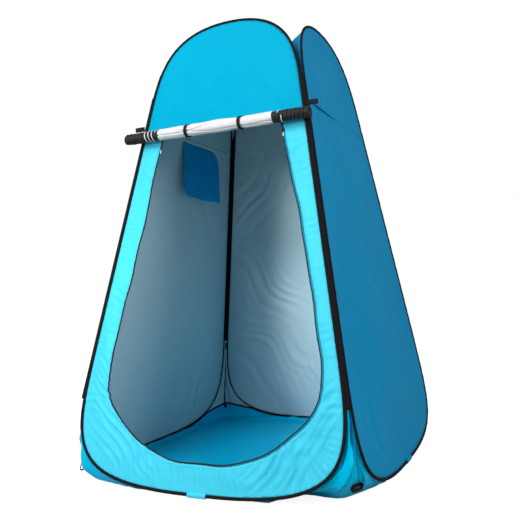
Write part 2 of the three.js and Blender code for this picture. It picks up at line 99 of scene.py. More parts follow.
# ---- Materials ----------------------------------------------------------------------------------------
class Nodes:
    """A small helper that adds nodes to one material."""

    def __init__(self, name):
        self.material = bpy.data.materials.new(name)
        self.material.use_nodes = True
        self.tree = self.material.node_tree
        self.shader = self.tree.nodes["Principled BSDF"]

    def add(self, kind, inputs=(), **settings):
        node = self.tree.nodes.new(kind)
        for key, value in settings.items():
            setattr(node, key, value)
        for key, value in dict(inputs).items():
            if hasattr(value, "is_output"):
                self.tree.links.new(value, node.inputs[key])
            else:
                node.inputs[key].default_value = value
        return node

    def set(self, **inputs):
        for key, value in inputs.items():
            socket = self.shader.inputs[key.replace("_", " ")]
            if hasattr(value, "is_output"):
                self.tree.links.new(value, socket)
            else:
                socket.default_value = value

    def mix(self, factor, a, b):
        node = self.add("ShaderNodeMix", {0: factor}, data_type="RGBA")
        for socket, value in ((node.inputs[6], a), (node.inputs[7], b)):
            if hasattr(value, "is_output"):
                self.tree.links.new(value, socket)
            else:
                socket.default_value = value
        return node.outputs[2]

    def math(self, operation, a, b=0.0):
        return self.add("ShaderNodeMath", {0: a, 1: b}, operation=operation).outputs[0]

    def noise(self, place, scale, detail=3.0, roughness=0.5):
        inputs = {"Vector": place, "Scale": scale, "Detail": detail, "Roughness": roughness}
        return self.add("ShaderNodeTexNoise", inputs).outputs["Fac"]

    def bump(self, height, distance, strength=1.0, below=None):
        inputs = {"Height": height, "Distance": distance, "Strength": strength}
        if below is not None:
            inputs["Normal"] = below
        return self.add("ShaderNodeBump", inputs).outputs["Normal"]


def woven(name, colour, yarn=0.0007, rough=0.5, crumple=0.0006, mottle=0.10, sheen=0.02, gloss=0.08):
    """Cloth: a plain weave of crossing yarns, faint crumpling and uneven colour. UVs are metres on the cloth."""
    n = Nodes(name)
    place = n.add("ShaderNodeTexCoord").outputs["UV"]
    split = n.add("ShaderNodeSeparateXYZ", {0: place})
    turns = 2 * math.pi / yarn
    warp = n.math("SINE", n.math("MULTIPLY", split.outputs[0], turns))
    weft = n.math("SINE", n.math("MULTIPLY", split.outputs[1], turns))
    weave = n.math("MULTIPLY", warp, weft)
    broad = n.noise(place, 2.2, 2.0)
    crushed = n.noise(place, 26.0, 4.0, 0.6)
    fine = n.noise(place, 140.0, 3.0, 0.6)
    tint = n.mix(broad, [c * (1 - mottle) for c in linear(colour)[:3]] + [1],
                 [min(1, c * (1 + mottle)) for c in linear(colour)[:3]] + [1])
    dark = [c * 0.72 for c in linear(colour)[:3]] + [1]
    tint = n.mix(n.math("MULTIPLY", n.math("SUBTRACT", fine, 0.45), mottle * 2), tint, dark)
    tint = n.mix(n.math("MULTIPLY", n.math("ADD", weave, 1.0), 0.05), tint, dark)
    normal = n.bump(crushed, crumple)
    normal = n.bump(fine, crumple * 0.12, below=normal)
    normal = n.bump(weave, yarn * 0.05, 0.5, below=normal)
    shine = [min(1, c * 1.5) ** 0.5 for c in linear(colour)[:3]] + [1]
    n.set(Base_Color=tint, Normal=normal, Specular_IOR_Level=gloss, Specular_Tint=shine,
          Sheen_Weight=sheen, Sheen_Roughness=0.5, Sheen_Tint=shine,
          Roughness=n.math("ADD", n.math("MULTIPLY", crushed, 0.16), rough - 0.08))
    return n.material


def webbed(name, colour, rib=0.0016, rough=0.75, gloss=0.18):
    """Ribbed binding or webbing, with its ribs across the strap."""
    n = Nodes(name)
    place = n.add("ShaderNodeTexCoord").outputs["UV"]
    split = n.add("ShaderNodeSeparateXYZ", {0: place})
    along = n.math("SINE", n.math("MULTIPLY", split.outputs[0], 2 * math.pi / rib))
    across = n.math("SINE", n.math("MULTIPLY", split.outputs[1], 2 * math.pi / (rib * 0.8)))
    worn = n.noise(place, 18.0, 4.0, 0.6)
    fluff = n.noise(place, 420.0, 2.0)
    pale = [min(1, c * 2.2 + 0.006) for c in linear(colour)[:3]] + [1]
    tint = n.mix(n.math("MULTIPLY", worn, 0.55), linear(colour), pale)
    tint = n.mix(n.math("MULTIPLY", n.math("ADD", along, 1.0), 0.08), tint, pale)
    normal = n.bump(n.math("ADD", along, n.math("MULTIPLY", across, 0.4)), 0.00016, 0.8)
    normal = n.bump(n.math("ADD", worn, n.math("MULTIPLY", fluff, 0.2)), 0.0009, 0.6, below=normal)
    n.set(Base_Color=tint, Normal=normal, Roughness=rough, Specular_IOR_Level=gloss, Sheen_Weight=0.03)
    return n.material


def moulded(name, colour, rough=0.38, metal=0.0):
    """Moulded plastic or drawn metal, with fine handling marks."""
    n = Nodes(name)
    place = n.add("ShaderNodeTexCoord").outputs["Object"]
    marks = n.noise(place, 220.0, 4.0, 0.65)
    broad = n.noise(place, 14.0, 2.0)
    dark = [c * 0.7 for c in linear(colour)[:3]] + [1]
    n.set(Base_Color=n.mix(n.math("MULTIPLY", broad, 0.5), linear(colour), dark), Metallic=metal,
          Normal=n.bump(marks, 0.00015, 0.7), Roughness=n.math("ADD", n.math("MULTIPLY", marks, 0.2), rough - 0.1))
    return n.material


LOOK = {
    "light_blue_cloth": woven("light_blue_cloth", LIGHT_CYAN, rough=0.42, crumple=0.0016, gloss=0.25),
    "cyan_cloth": woven("cyan_cloth", CYAN, rough=0.42, crumple=0.0010, gloss=0.12),
    "bright_blue_cloth": woven("bright_blue_cloth", BRIGHT_BLUE, rough=0.4, crumple=0.0016, gloss=0.2),
    "blue_cloth": woven("blue_cloth", BLUE, rough=0.5),
    "zip_cloth": woven("zip_cloth", ZIP_TEAL, rough=0.45, crumple=0.0006),
    "floor_cloth": woven("floor_cloth", FLOOR_BLUE, yarn=0.0011, rough=0.42, crumple=0.0008, gloss=0.18),
    "dark_blue_cloth": woven("dark_blue_cloth", FLAP_BLUE, rough=0.6, mottle=0.14),
    "silver_coating": woven("silver_coating", SILVER, rough=0.42, crumple=0.0008, mottle=0.06, gloss=0.4),
    "lining_cloth": woven("lining_cloth", LINING, rough=0.5, crumple=0.0012, mottle=0.04, gloss=0.3),
    "binding_cloth": webbed("binding_cloth", BINDING, gloss=0.10),
    "wound_tape": webbed("wound_tape", (14, 13, 16), rib=0.0013, rough=0.5, gloss=0.35),
    "webbing": webbed("webbing", WEBBING, rib=0.0022),
    "thread": webbed("thread", THREAD, rib=0.0008),
    "window_net": moulded("window_net", (52, 70, 84), 0.7),
    "spring_steel": moulded("spring_steel", STEEL, 0.32, 1.0),
    "zip_coil": moulded("zip_coil", (6, 8, 14), 0.75),
    "black_plastic": moulded("black_plastic", (26, 26, 28)),
    "white_plastic": moulded("white_plastic", WHITE, 0.45),
}


# ---- Meshes -------------------------------------------------------------------------------------------
def make_object(name, points, faces, uvs, looks):
    """A smooth mesh object. uvs holds one place, in metres on the piece, for each corner of each face."""
    mesh = bpy.data.meshes.new(name)
    mesh.from_pydata(np.asarray(points).tolist(), [], [list(map(int, f)) for f in faces])
    mesh.uv_layers.new(name="metres").data.foreach_set("uv", np.asarray(uvs, np.float32).ravel())
    mesh.shade_smooth()
    for look in looks:
        mesh.materials.append(LOOK[look])
    thing = bpy.data.objects.new(name, mesh)
    bpy.context.scene.collection.objects.link(thing)
    return thing


def grid_faces(rows, columns, wrap_rows=False, wrap_columns=False):
    """The quads of a grid of points, as point numbers and as (row, column) places that don't wrap."""
    i, j = np.meshgrid(np.arange(rows - (not wrap_rows)), np.arange(columns - (not wrap_columns)), indexing="ij")
    i, j = i.ravel(), j.ravel()
    row = np.stack([i, i + 1, i + 1, i], 1)
    column = np.stack([j, j, j + 1, j + 1], 1)
    return (row % rows) * columns + column % columns, row, column


def grid_object(name, points, looks, wrap_rows=False, wrap_columns=False, caps=False):
    """A mesh from a grid of points, with its UVs measured along it."""
    points = np.asarray(points, float)
    rows, columns = points.shape[:2]
    faces, row, column = grid_faces(rows, columns, wrap_rows, wrap_columns)
    closed_rows = np.concatenate([points, points[:1]], 0) if wrap_rows else points
    closed_columns = np.concatenate([points, points[:, :1]], 1) if wrap_columns else points
    along = np.linalg.norm(np.diff(closed_rows, axis=0), axis=2).mean(1)
    across = np.linalg.norm(np.diff(closed_columns, axis=1), axis=2).mean(0)
    along, across = (np.concatenate([[0], np.cumsum(x)]) for x in (along, across))
    uvs = np.stack([along[row], across[column]], 2).reshape(-1, 2)
    faces = faces.tolist()
    if caps:
        ends = [list(range(columns))[::-1], [(rows - 1) * columns + k for k in range(columns)]]
        faces += ends
        flat = np.stack([np.cos(np.linspace(0, 2 * math.pi, columns)), np.sin(np.linspace(0, 2 * math.pi, columns))], 1)
        uvs = np.vstack([uvs, flat * 0.004, flat * 0.004])
    return make_object(name, points.reshape(-1, 3), faces, uvs, looks)


def join(name, parts):
    """One object from several with the same kind of finish."""
    with bpy.context.temp_override(active_object=parts[0], selected_editable_objects=parts):
        bpy.ops.object.join()
    parts[0].name = name
    return parts[0]


def thicken(thing, thick=CLOTH, inner=None):
    """Gives a cloth its thickness. Its inner face takes the second material where it has one."""
    solid = thing.modifiers.new("thickness", "SOLIDIFY")
    solid.thickness = thick
    solid.offset = 0
    if inner:
        thing.data.materials.append(LOOK[inner])
        solid.material_offset = 1
    return thing


def smoothstep(x, low=0.0, high=1.0):
    t = np.clip((np.asarray(x, float) - low) / (high - low), 0, 1)
    return t * t * (3 - 2 * t)


def waves(points, length, seed, count=9):
    """Smooth random heights of about unit size, with features of the given length."""
    random = np.random.default_rng(seed)
    total = np.zeros(len(points))
    for _ in range(count):
        angle, phase = random.uniform(0, 2 * math.pi, 2)
        turns = 2 * math.pi / (length * random.uniform(0.7, 1.6))
        total += np.cos((points[:, 0] * math.cos(angle) + points[:, 1] * math.sin(angle)) * turns + phase)
    return total * math.sqrt(2 / count)


def ripple(place, length, seed, count=6):
    """waves() along a line."""
    place = np.asarray(place, float)
    random = np.random.default_rng(seed)
    total = np.zeros(place.shape)
    for _ in range(count):
        total += np.cos(place * 2 * math.pi / (length * random.uniform(0.65, 1.7)) + random.uniform(0, 2 * math.pi))
    return total * math.sqrt(2 / count)


# ---- Wall planes --------------------------------------------------------------------------------------
# A point on a wall is (across, up the slope, outward). Walls follow each other anticlockwise.
def wall_axes(wall):
    turn = Matrix.Rotation(WALLS.index(wall) * math.pi / 2, 3, "Z")
    across, up, out = Vector((1, 0, 0)), Vector((0, LEAN, 1)) / SLOPE, Vector((0, -1, LEAN)) / SLOPE
    axes = np.array([turn @ v for v in (across, up, out)])
    return np.array(turn @ Vector((0, -REACH, 0))), axes


def on_wall(wall, flat, outward=0.0):
    """Points on a wall from places (across, up the slope) and distances outward."""
    flat = np.asarray(flat, float)
    origin, axes = wall_axes(wall)
    local = np.concatenate([flat, np.broadcast_to(outward, flat.shape[:-1])[..., None]], -1)
    return origin + local @ axes


def reach_at(height):
    return REACH - LEAN * height


def flat(across, height):
    return np.array([across, height * SLOPE])


def normal_of(wall):
    return wall_axes(wall)[1][2]


# ---- Hoop curve ---------------------------------------------------------------------------------------
def bezier(corners, count):
    t = np.linspace(0, 1, count)[:, None]
    p = [np.asarray(c) for c in corners]
    return (1 - t) ** 3 * p[0] + 3 * (1 - t) ** 2 * t * p[1] + 3 * (1 - t) * t * t * p[2] + t**3 * p[3]


def side_place(height):
    return flat(reach_at(height) - CORNER_GAP, height)


UP_SIDE = np.array([-LEAN, SLOPE])
LOW_ARC = [flat(JOINT_HALF, HOOP_BOTTOM), flat(BOTTOM_FULLNESS, HOOP_BOTTOM),
           side_place(SIDE_LOW) - FLARE * UP_SIDE, side_place(SIDE_LOW)]
HIGH_ARC = [side_place(SIDE_HIGH), side_place(SIDE_HIGH) + SHOULDER * UP_SIDE,
            flat(TOP_FULLNESS, HOOP_TOP), flat(0, HOOP_TOP)]


def resample(path, spacing, closed=False):
    """The same path with its points an even distance apart."""
    path = np.vstack([path, path[:1]]) if closed else np.asarray(path)
    length = np.concatenate([[0], np.cumsum(np.linalg.norm(np.diff(path, axis=0), axis=1))])
    count = max(2, round(length[-1] / spacing)) + (not closed)
    at = np.linspace(0, length[-1], count + closed)[: count]
    return np.stack([np.interp(at, length, path[:, k]) for k in range(path.shape[1])], 1)


def hoop_line(spacing):
    """The hoop's centre line from the middle of its bottom, round by +X and over the apex."""
    right = np.vstack([[flat(0, HOOP_BOTTOM)], bezier(LOW_ARC, 160), bezier(HIGH_ARC, 120)])
    left = (right * [-1, 1])[::-1][1:-1]
    return resample(np.vstack([right, left]), spacing, closed=True)


def normals_2d(path, closed=True):
    """Unit vectors to the right of the way along a flat path."""
    if closed:
        way = np.roll(path, -1, 0) - np.roll(path, 1, 0)
    else:
        way = np.gradient(path, axis=0)
    way /= np.linalg.norm(way, axis=1)[:, None]
    return np.stack([way[:, 1], -way[:, 0]], 1)


HOOP = hoop_line(0.006)
HOOP_OUT = normals_2d(HOOP)
PANEL_EDGE = resample(HOOP - HOOP_OUT * TUCK, SPACING * 0.8, closed=True)


def cut_outline(height, above):
    """The part of the panel outline above or below a height, cut straight across."""
    level = height * SLOPE
    kept = []
    for p, q in zip(PANEL_EDGE, np.roll(PANEL_EDGE, -1, 0)):
        if (p[1] > level) == above:
            kept.append(p)
        if (p[1] > level) != (q[1] > level):
            kept.append(p + (q - p) * (level - p[1]) / (q[1] - p[1]))
    return resample(np.array(kept), SPACING * 0.8, closed=True)


# ---- Cloth on a wall ----------------------------------------------------------------------------------
def inside(points, ring):
    """Which flat points lie inside a closed ring."""
    x, y = points[:, :1], points[:, 1:]
    a, b = ring, np.roll(ring, -1, 0)
    crosses = (a[:, 1] > y) != (b[:, 1] > y)
    rise = np.where(b[:, 1] == a[:, 1], 1e-12, b[:, 1] - a[:, 1])
    return (crosses & (x < (b[:, 0] - a[:, 0]) * (y - a[:, 1]) / rise + a[:, 0])).sum(1) % 2 == 1


def nearest(points, line):
    """For each flat point: how far the line is, and how far along the line its nearest point lies."""
    tree = kdtree.KDTree(len(line))
    for k, p in enumerate(line):
        tree.insert((p[0], p[1], 0), k)
    tree.balance()
    found = [tree.find((p[0], p[1], 0)) for p in points]
    step = np.concatenate([[0], np.cumsum(np.linalg.norm(np.diff(line, axis=0), axis=1))])
    return np.array([f[2] for f in found]), np.array([step[f[1]] for f in found])


def fill(outline, spacing, hole=None):
    """Points and triangles that fill a flat outline and leave the hole open."""
    rings = [outline] if hole is None else [outline, hole]
    edges, start = [], 0
    for ring in rings:
        edges += [(start + k, start + (k + 1) % len(ring)) for k in range(len(ring))]
        start += len(ring)
    border = np.vstack(rings)
    low, high = outline.min(0), outline.max(0)
    rows = np.arange(low[1], high[1], spacing * math.sqrt(0.75))
    grid = np.array([(x + (k % 2) * spacing / 2, y) for k, y in enumerate(rows)
                     for x in np.arange(low[0], high[0], spacing)])
    grid = grid[inside(grid, outline)]
    if hole is not None:
        grid = grid[~inside(grid, hole)]
    grid = grid[nearest(grid, border)[0] > spacing * 0.55]
    points = [Vector(p) for p in np.vstack([border, grid])]
    made = geometry.delaunay_2d_cdt(points, edges, [], 1, 1e-7)
    points, faces = np.array([tuple(p) for p in made[0]]), np.array([f for f in made[2] if len(f) == 3])
    middle = points[faces].mean(1)
    keep = inside(middle, outline)
    if hole is not None:
        keep &= ~inside(middle, hole)
    return points, faces[keep]


def pucker(points, line, depth, reach, pitch, seed):
    """Gathers that stand square to a sewn edge and die away from it."""
    distance, along = nearest(points, line)
    strength = distance / reach * np.exp(1 - distance / reach)
    return depth * strength * ripple(along, pitch, seed) * (0.6 + 0.4 * ripple(along, pitch * 9, seed + 1))


def creases(points, centre, angle, length, width, pitch, depth, seed):
    """A bundle of nearly parallel tension folds: angle is their direction, in degrees from the across axis."""
    turn = math.radians(angle)
    offset = points - np.asarray(centre)
    u = offset @ [math.cos(turn), math.sin(turn)]
    v = offset @ [-math.sin(turn), math.cos(turn)]
    bent = v + 0.035 * ripple(u, length * 1.8, seed, 3) * pitch / 0.04 * 0.35
    ridge = ripple(bent, pitch, seed + 1)
    sharp = np.sign(ridge) * np.abs(ridge) ** 1.3
    return depth * sharp * np.exp(-((u / length) ** 2) - (v / width) ** 2)


def cloth_on_wall(name, wall, outline, looks, relief, hole=None, rows=SPACING):
    """A cloth panel on a wall, from its flat outline and relief(points), its height outward."""
    points, faces = fill(outline, rows, hole)
    place = on_wall(wall, points, relief(points))
    uvs = points[faces].reshape(-1, 2)
    thing = make_object(name, place, faces, uvs, looks[:1])
    return thicken(thing, inner=looks[1])


def area_of(outline, hole=None):
    def ring_area(ring):
        nxt = np.roll(ring, -1, 0)
        return abs((ring[:, 0] * nxt[:, 1] - nxt[:, 0] * ring[:, 1]).sum()) / 2
    return ring_area(outline) - (0 if hole is None else ring_area(hole))


def declare_panel(outline, hole=None):
    size = outline.max(0) - outline.min(0)
    area = max(area_of(outline, hole), 0.301 * size[0] * size[1])


SEWN_LINE = resample(HOOP - HOOP_OUT * 0.0054, 0.002, closed=True)


def seam_ridge(points, height, side):
    """The lap at a seam: the upper panel's edge lies on the lower one's."""
    level = height * SLOPE
    near = smoothstep(side * (points[:, 1] - level), LAP * 1.6, 0)
    return near * (0.0009 if side > 0 else -0.0003)


# ---- Binding sleeves round the hoops ------------------------------------------------------------------
# Section of the sleeve, right half of its outline: place across the binding (outward) and half height.
BINDING_SECTION = [(0.0060, 0.0), (0.0057, 0.0026), (0.0046, 0.0042), (0.0024, 0.0050), (-0.0004, 0.0048),
                   (-0.0024, 0.0041), (-0.0038, 0.0030), (-0.0046, 0.0020), (-0.0052, 0.0014), (-0.0057, 0.0)]


def sleeve(wall):
    ring = np.array(BINDING_SECTION + [(a, -b) for a, b in BINDING_SECTION[-2:0:-1]])
    count = len(HOOP)
    along = np.arange(count) * 0.006
    seed = 40 + WALLS.index(wall)
    swell = 1 + 0.05 * ripple(along, 0.05, seed) + 0.03 * ripple(along, 0.016, seed + 5)
    flange = ring[:, 0] < -0.0045
    points = np.zeros((count, len(ring), 3))
    for k, (across, height) in enumerate(ring):
        place = HOOP + HOOP_OUT * across
        wobble = 0.0004 * ripple(along, 0.02, seed + 9) if flange[k] else 0
        points[:, k] = on_wall(wall, place, height * swell + wobble)
    tube = grid_object(f"sleeve_{wall}", points, ["binding_cloth"], wrap_rows=True, wrap_columns=True)
    heights = np.arange(0.315, SIDE_HIGH + 0.05, 0.012)
    straight = HOOP[HOOP[:, 0] > 0.3]
    order = np.argsort(straight[:, 1])
    hoop = np.interp(heights * SLOPE, straight[order, 1], straight[order, 0])
    parts = [tube]
    for side in (1, -1):
        near, far = reach_at(heights) - 0.0003, hoop + 0.0050
        strip = np.array([[flat(side * (n + (f - n) * t), h) for t in np.linspace(1, 0, 4)]
                          for h, n, f in zip(heights, near, far)])
        lift = 0.0006 * ripple(heights, 0.03, seed + side)[:, None] * np.array([1, 1, 0.5, 0])
        seam = grid_object("corner_seam", on_wall(wall, strip, lift), ["binding_cloth"])
        thicken(seam, 0.0018)
        with bpy.context.temp_override(object=seam, active_object=seam):
            bpy.ops.object.modifier_apply(modifier="thickness")
        parts.append(seam)
    tube = join(f"sleeve_cloth_{wall}", parts)
    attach(tube, f"{wall}_wall")
    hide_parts(f"sleeve_{wall}")


def joint_patch(wall):
    """A cuff of cloth sewn over the joint of the hoop's ends."""
    stations = np.linspace(-1, 1, 30)
    turns = np.linspace(0, 2 * math.pi, 28, endpoint=False)
    points = np.zeros((len(stations), len(turns), 3))
    for i, s in enumerate(stations):
        tight = 1 - 0.10 * abs(s) ** 6
        fold = 1 + 0.035 * np.cos(5 * turns + 7 * s) + 0.02 * np.cos(9 * turns - 5 * s)
        ring = np.stack([np.full(len(turns), 0.0382 * s), HOOP_BOTTOM * SLOPE + 0.0098 * np.sin(turns) * tight], 1)
        points[i] = on_wall(wall, ring, 0.0066 * np.cos(turns) * tight * fold)
    look = "light_blue_cloth" if wall == "front" else "blue_cloth"
    cuff = grid_object(f"joint_cuff_{wall}", points, [look], wrap_columns=True)
    thicken(cuff, 0.0007)
    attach(cuff, f"{wall}_wall")
    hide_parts(f"joint_patch_{wall}")


# ---- Wall panels --------------------------------------------------------------------------------------
def wall_relief(wall, seam, side, extra=None):
    seed = 100 + 10 * WALLS.index(wall) + (side > 0)

    def relief(points):
        edge = nearest(points, SEWN_LINE)[0]
        free = smoothstep(edge, 0.004, 0.12)
        height = 0.0022 * waves(points, 0.55, seed) * free - 0.004 * free
        height += 0.0004 * waves(points, 0.09, seed + 1, 14) * free
        height += pucker(points, SEWN_LINE, 0.0006, 0.016, 0.026, seed + 2)
        height += seam_ridge(points, seam, side)
        if extra:
            height += extra(points) * smoothstep(edge, 0.0, 0.03)
        return height
    return relief


def corner_folds(points, wall):
    """Long faint folds that run from the lower corners up into a wall, and a gather under its seam."""
    seed = 300 + WALLS.index(wall)
    level = WALL_SEAM * SLOPE
    height = creases(points, flat(0.36, 0.26), 58, 0.22, 0.09, 0.085, 0.0013, seed)
    height += creases(points, flat(-0.36, 0.26), 122, 0.22, 0.09, 0.085, 0.0013, seed + 3)
    height += creases(points, flat(0.20, 1.30), 148, 0.26, 0.06, 0.075, 0.0012, seed + 6)
    height += creases(points, flat(-0.20, 1.18), 30, 0.24, 0.06, 0.085, 0.0009, seed + 9)
    under = np.exp(-np.clip(level - points[:, 1], 0, None) / 0.05)
    gather = 0.0009
    if wall == "back":
        height += creases(points, flat(0.30, 0.80), 49, 0.22, 0.11, 0.060, 0.0058, seed + 20)
        height += creases(points, flat(0.27, 1.20), 138, 0.19, 0.10, 0.055, 0.0048, seed + 23)
        height += creases(points, flat(-0.12, 0.22), 84, 0.15, 0.24, 0.052, 0.0052, seed + 26)
        height += creases(points, flat(0.22, 0.40), 40, 0.20, 0.08, 0.060, 0.0044, seed + 29)
        gather = 0.0026
    return height + gather * under * ripple(points[:, 0], 0.035, seed + 12)


WINDOW_WIDTH = 0.2206


def window_ring(gap=0.0, spacing=0.008):
    """The outline of the window in the left wall."""
    low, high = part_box("window_mesh")
    width, bottom, top = WINDOW_WIDTH / 2, low.z * SLOPE, high.z * SLOPE
    centre = -(high.y - WINDOW_WIDTH / 2)
    corner = 0.045
    points = []
    for quarter, (x, y) in enumerate([(1, -1), (1, 1), (-1, 1), (-1, -1)]):
        middle = np.array([centre + x * (width - corner), (bottom + top) / 2 + y * ((top - bottom) / 2 - corner)])
        for turn in np.linspace(-90, 0, 7) + 90 * quarter:
            reach = corner - gap
            points.append(middle + reach * np.array([math.cos(math.radians(turn)), math.sin(math.radians(turn))]))
    return resample(np.array(points), spacing, closed=True)


def plain_walls():
    for wall in WALLS[1:]:
        hole = window_ring() if wall == "left" else None
        lower = cut_outline(WALL_SEAM + LAP / 2, False)
        looks = ["blue_cloth", "silver_coating"]
        relief = wall_relief(wall, WALL_SEAM + LAP / 2, -1, lambda p, w=wall: corner_folds(p, w))
        panel = cloth_on_wall(f"{wall}_lower_cloth", wall, lower, looks, relief, hole)
        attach(panel, f"{wall}_wall")
        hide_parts(f"{wall}_lower_panel")
        declare_panel(lower, hole)
        upper = cut_outline(WALL_SEAM - LAP / 2, True)
        panel = cloth_on_wall(f"{wall}_upper_cloth", wall, upper, looks, wall_relief(wall, WALL_SEAM - LAP / 2, 1))
        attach(panel, f"{wall}_wall")
        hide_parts(f"{wall}_upper_panel")
        declare_panel(upper)


# ---- Doorway ------------------------------------------------------------------------------------------
# Right half of the doorway's edge, from the sill's middle up: distance across and height.
DOORWAY = [(0, 0.108), (0.190, 0.130), (0.340, 0.210), (0.430, 0.305), (0.457, 0.400), (0.430, 0.616),
           (0.362, 0.988), (0.284, 1.399)]
DOOR_SAG = 0.017  # how far the cloth round the doorway hangs towards +X


def spline(points, steps=24):
    """A smooth path through the points."""
    p = np.vstack([2 * points[0] - points[1], points, 2 * points[-1] - points[-2]])
    t = np.linspace(0, 1, steps, endpoint=False)[:, None]
    made = [0.5 * (2 * b + (c - a) * t + (2 * a - 5 * b + 4 * c - d) * t**2 + (3 * b - a - 3 * c + d) * t**3)
            for a, b, c, d in zip(p, p[1:], p[2:], p[3:])]
    return np.vstack(made + [points[-1:]])


def doorway_edge(spacing=0.0035):
    """The doorway's edge, from the top left down, across the sill and up to the top right."""
    right = np.array([flat(a, h) for a, h in DOORWAY])
    path = resample(spline(np.vstack([(right * [-1, 1])[:0:-1], right])), spacing)
    hang = smoothstep(path[:, 1], 1.32 * SLOPE, 0.95 * SLOPE)
    soft = smoothstep(path[:, 1], 1.34 * SLOPE, 1.2 * SLOPE)
    along = np.arange(len(path)) * spacing
    path = path + np.stack([DOOR_SAG * hang, np.zeros(len(path))], 1)
    return path + normals_2d(path, closed=False) * (0.0016 * soft * ripple(along, 0.22, 71))[:, None]


DOOR_EDGE = doorway_edge()
DOOR_EDGE_FINE = resample(DOOR_EDGE, 0.002)


def surround_relief(points):
    edge = nearest(points, SEWN_LINE)[0]
    near_door, along = nearest(points, DOOR_EDGE_FINE)
    free = smoothstep(edge, 0.003, 0.05)
    height = 0.0016 * waves(points, 0.3, 200) * free + 0.0006 * waves(points, 0.07, 201, 14) * free
    height += pucker(points, SEWN_LINE, 0.0012, 0.024, 0.026, 202)
    folds = creases(points, flat(-0.45, 0.36), -44, 0.12, 0.075, 0.020, 0.0046, 203)
    folds += creases(points, flat(-0.37, 0.23), -46, 0.13, 0.075, 0.022, 0.0046, 206)
    folds += creases(points, flat(-0.26, 0.12), -66, 0.07, 0.09, 0.024, 0.0022, 209)
    folds += creases(points, flat(0.02, 0.06), 88, 0.05, 0.28, 0.017, 0.0024, 212)
    folds += creases(points, flat(0.30, 0.12), 62, 0.12, 0.13, 0.030, 0.0036, 215)
    folds += creases(points, flat(0.46, 0.27), 55, 0.17, 0.08, 0.034, 0.0034, 218)
    folds += creases(points, flat(-0.43, 0.62), -16, 0.08, 0.14, 0.026, 0.0012, 221)
    folds += creases(points, flat(0.46, 0.66), 24, 0.09, 0.16, 0.028, 0.0014, 224)
    folds += creases(points, flat(0.36, 1.22), 40, 0.09, 0.12, 0.030, 0.0014, 227)
    folds += creases(points, flat(-0.36, 1.20), -38, 0.09, 0.12, 0.030, 0.0012, 230)
    height += folds * free
    hem = smoothstep(near_door, 0.016, 0.006)
    height = height * (1 - 0.6 * hem) + 0.0007 * hem
    height += 0.0005 * np.exp(-near_door / 0.03) * ripple(along, 0.03, 233)
    level = FRONT_SEAM * SLOPE
    return height * smoothstep(level - points[:, 1], -0.002, 0.03) + seam_ridge(points, FRONT_SEAM, -1)


def front_wall():
    lower = cut_outline(FRONT_SEAM + LAP / 2, False)
    top = flat(0, FRONT_SEAM + 0.002)[1]
    mouth = np.vstack([[DOOR_EDGE[0][0], top], DOOR_EDGE, [DOOR_EDGE[-1][0], top]])
    ring = resample(mouth, SPACING * 0.7, closed=True)
    panel = cloth_on_wall("door_surround_cloth", "front", lower, ["light_blue_cloth", "silver_coating"],
                          surround_relief, ring, SPACING * 0.72)
    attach(panel, "front_wall")
    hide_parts("door_surround")
    declare_panel(lower, ring)
    upper = cut_outline(FRONT_SEAM - LAP / 2, True)
    panel = cloth_on_wall("front_upper_cloth", "front", upper, ["cyan_cloth", "silver_coating"],
                          wall_relief("front", FRONT_SEAM - LAP / 2, 1))
    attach(panel, "front_wall")
    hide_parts("front_upper_panel")
    declare_panel(upper)


def along_door(offsets, heights):
    """Points along the doorway's edge: offsets from it into the opening, heights out from the cloth there."""
    side = -normals_2d(DOOR_EDGE, closed=False)
    offsets, heights = np.broadcast_arrays(offsets, heights, np.zeros((len(DOOR_EDGE), 1)))[:2]
    strip = DOOR_EDGE[:, None] + side[:, None] * offsets[..., None]
    under = DOOR_EDGE[:, None] + side[:, None] * np.clip(offsets, None, 0)[..., None]
    lift = surround_relief(under.reshape(-1, 2)).reshape(offsets.shape)
    return on_wall("front", strip, lift + heights)


def door_zip():
    """Zip tape sewn behind the doorway's edge, its coil of teeth on the free edge and a corded edge to the cloth."""
    show = (0.0020 + 0.0070 * smoothstep(DOOR_EDGE[:, 0], -0.2, 0.42))[:, None]
    tape = grid_object("door_zip_cloth", along_door(np.linspace(0, 1, 5) * (show + 0.007) - 0.007, -0.0016),
                       ["zip_cloth"])
    thicken(tape, 0.0008)
    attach(tape, "front_wall")
    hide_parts("door_zip_tape")
    turns = np.linspace(0, 2 * math.pi, 8, endpoint=False)
    thin = (0.0013 - 0.0006 * smoothstep(DOOR_EDGE[:, 0], -0.2, 0.42))[:, None]
    cord = along_door(0.0004 + thin * np.cos(turns), thin * np.sin(turns) - 0.0002)
    piping = grid_object("door_edge_piping", cord, ["binding_cloth"], wrap_columns=True)
    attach(piping, "front_wall")
    steps = np.arange(len(DOOR_EDGE))
    bead = (0.0026 + 0.0004 * np.where(steps % 2, 1, -1))[:, None]
    coil = along_door(show + bead * np.cos(turns), -0.0014 + bead * np.sin(turns))
    teeth = grid_object("door_zip_teeth", coil, ["zip_coil"], wrap_columns=True)
    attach(teeth, "front_wall")


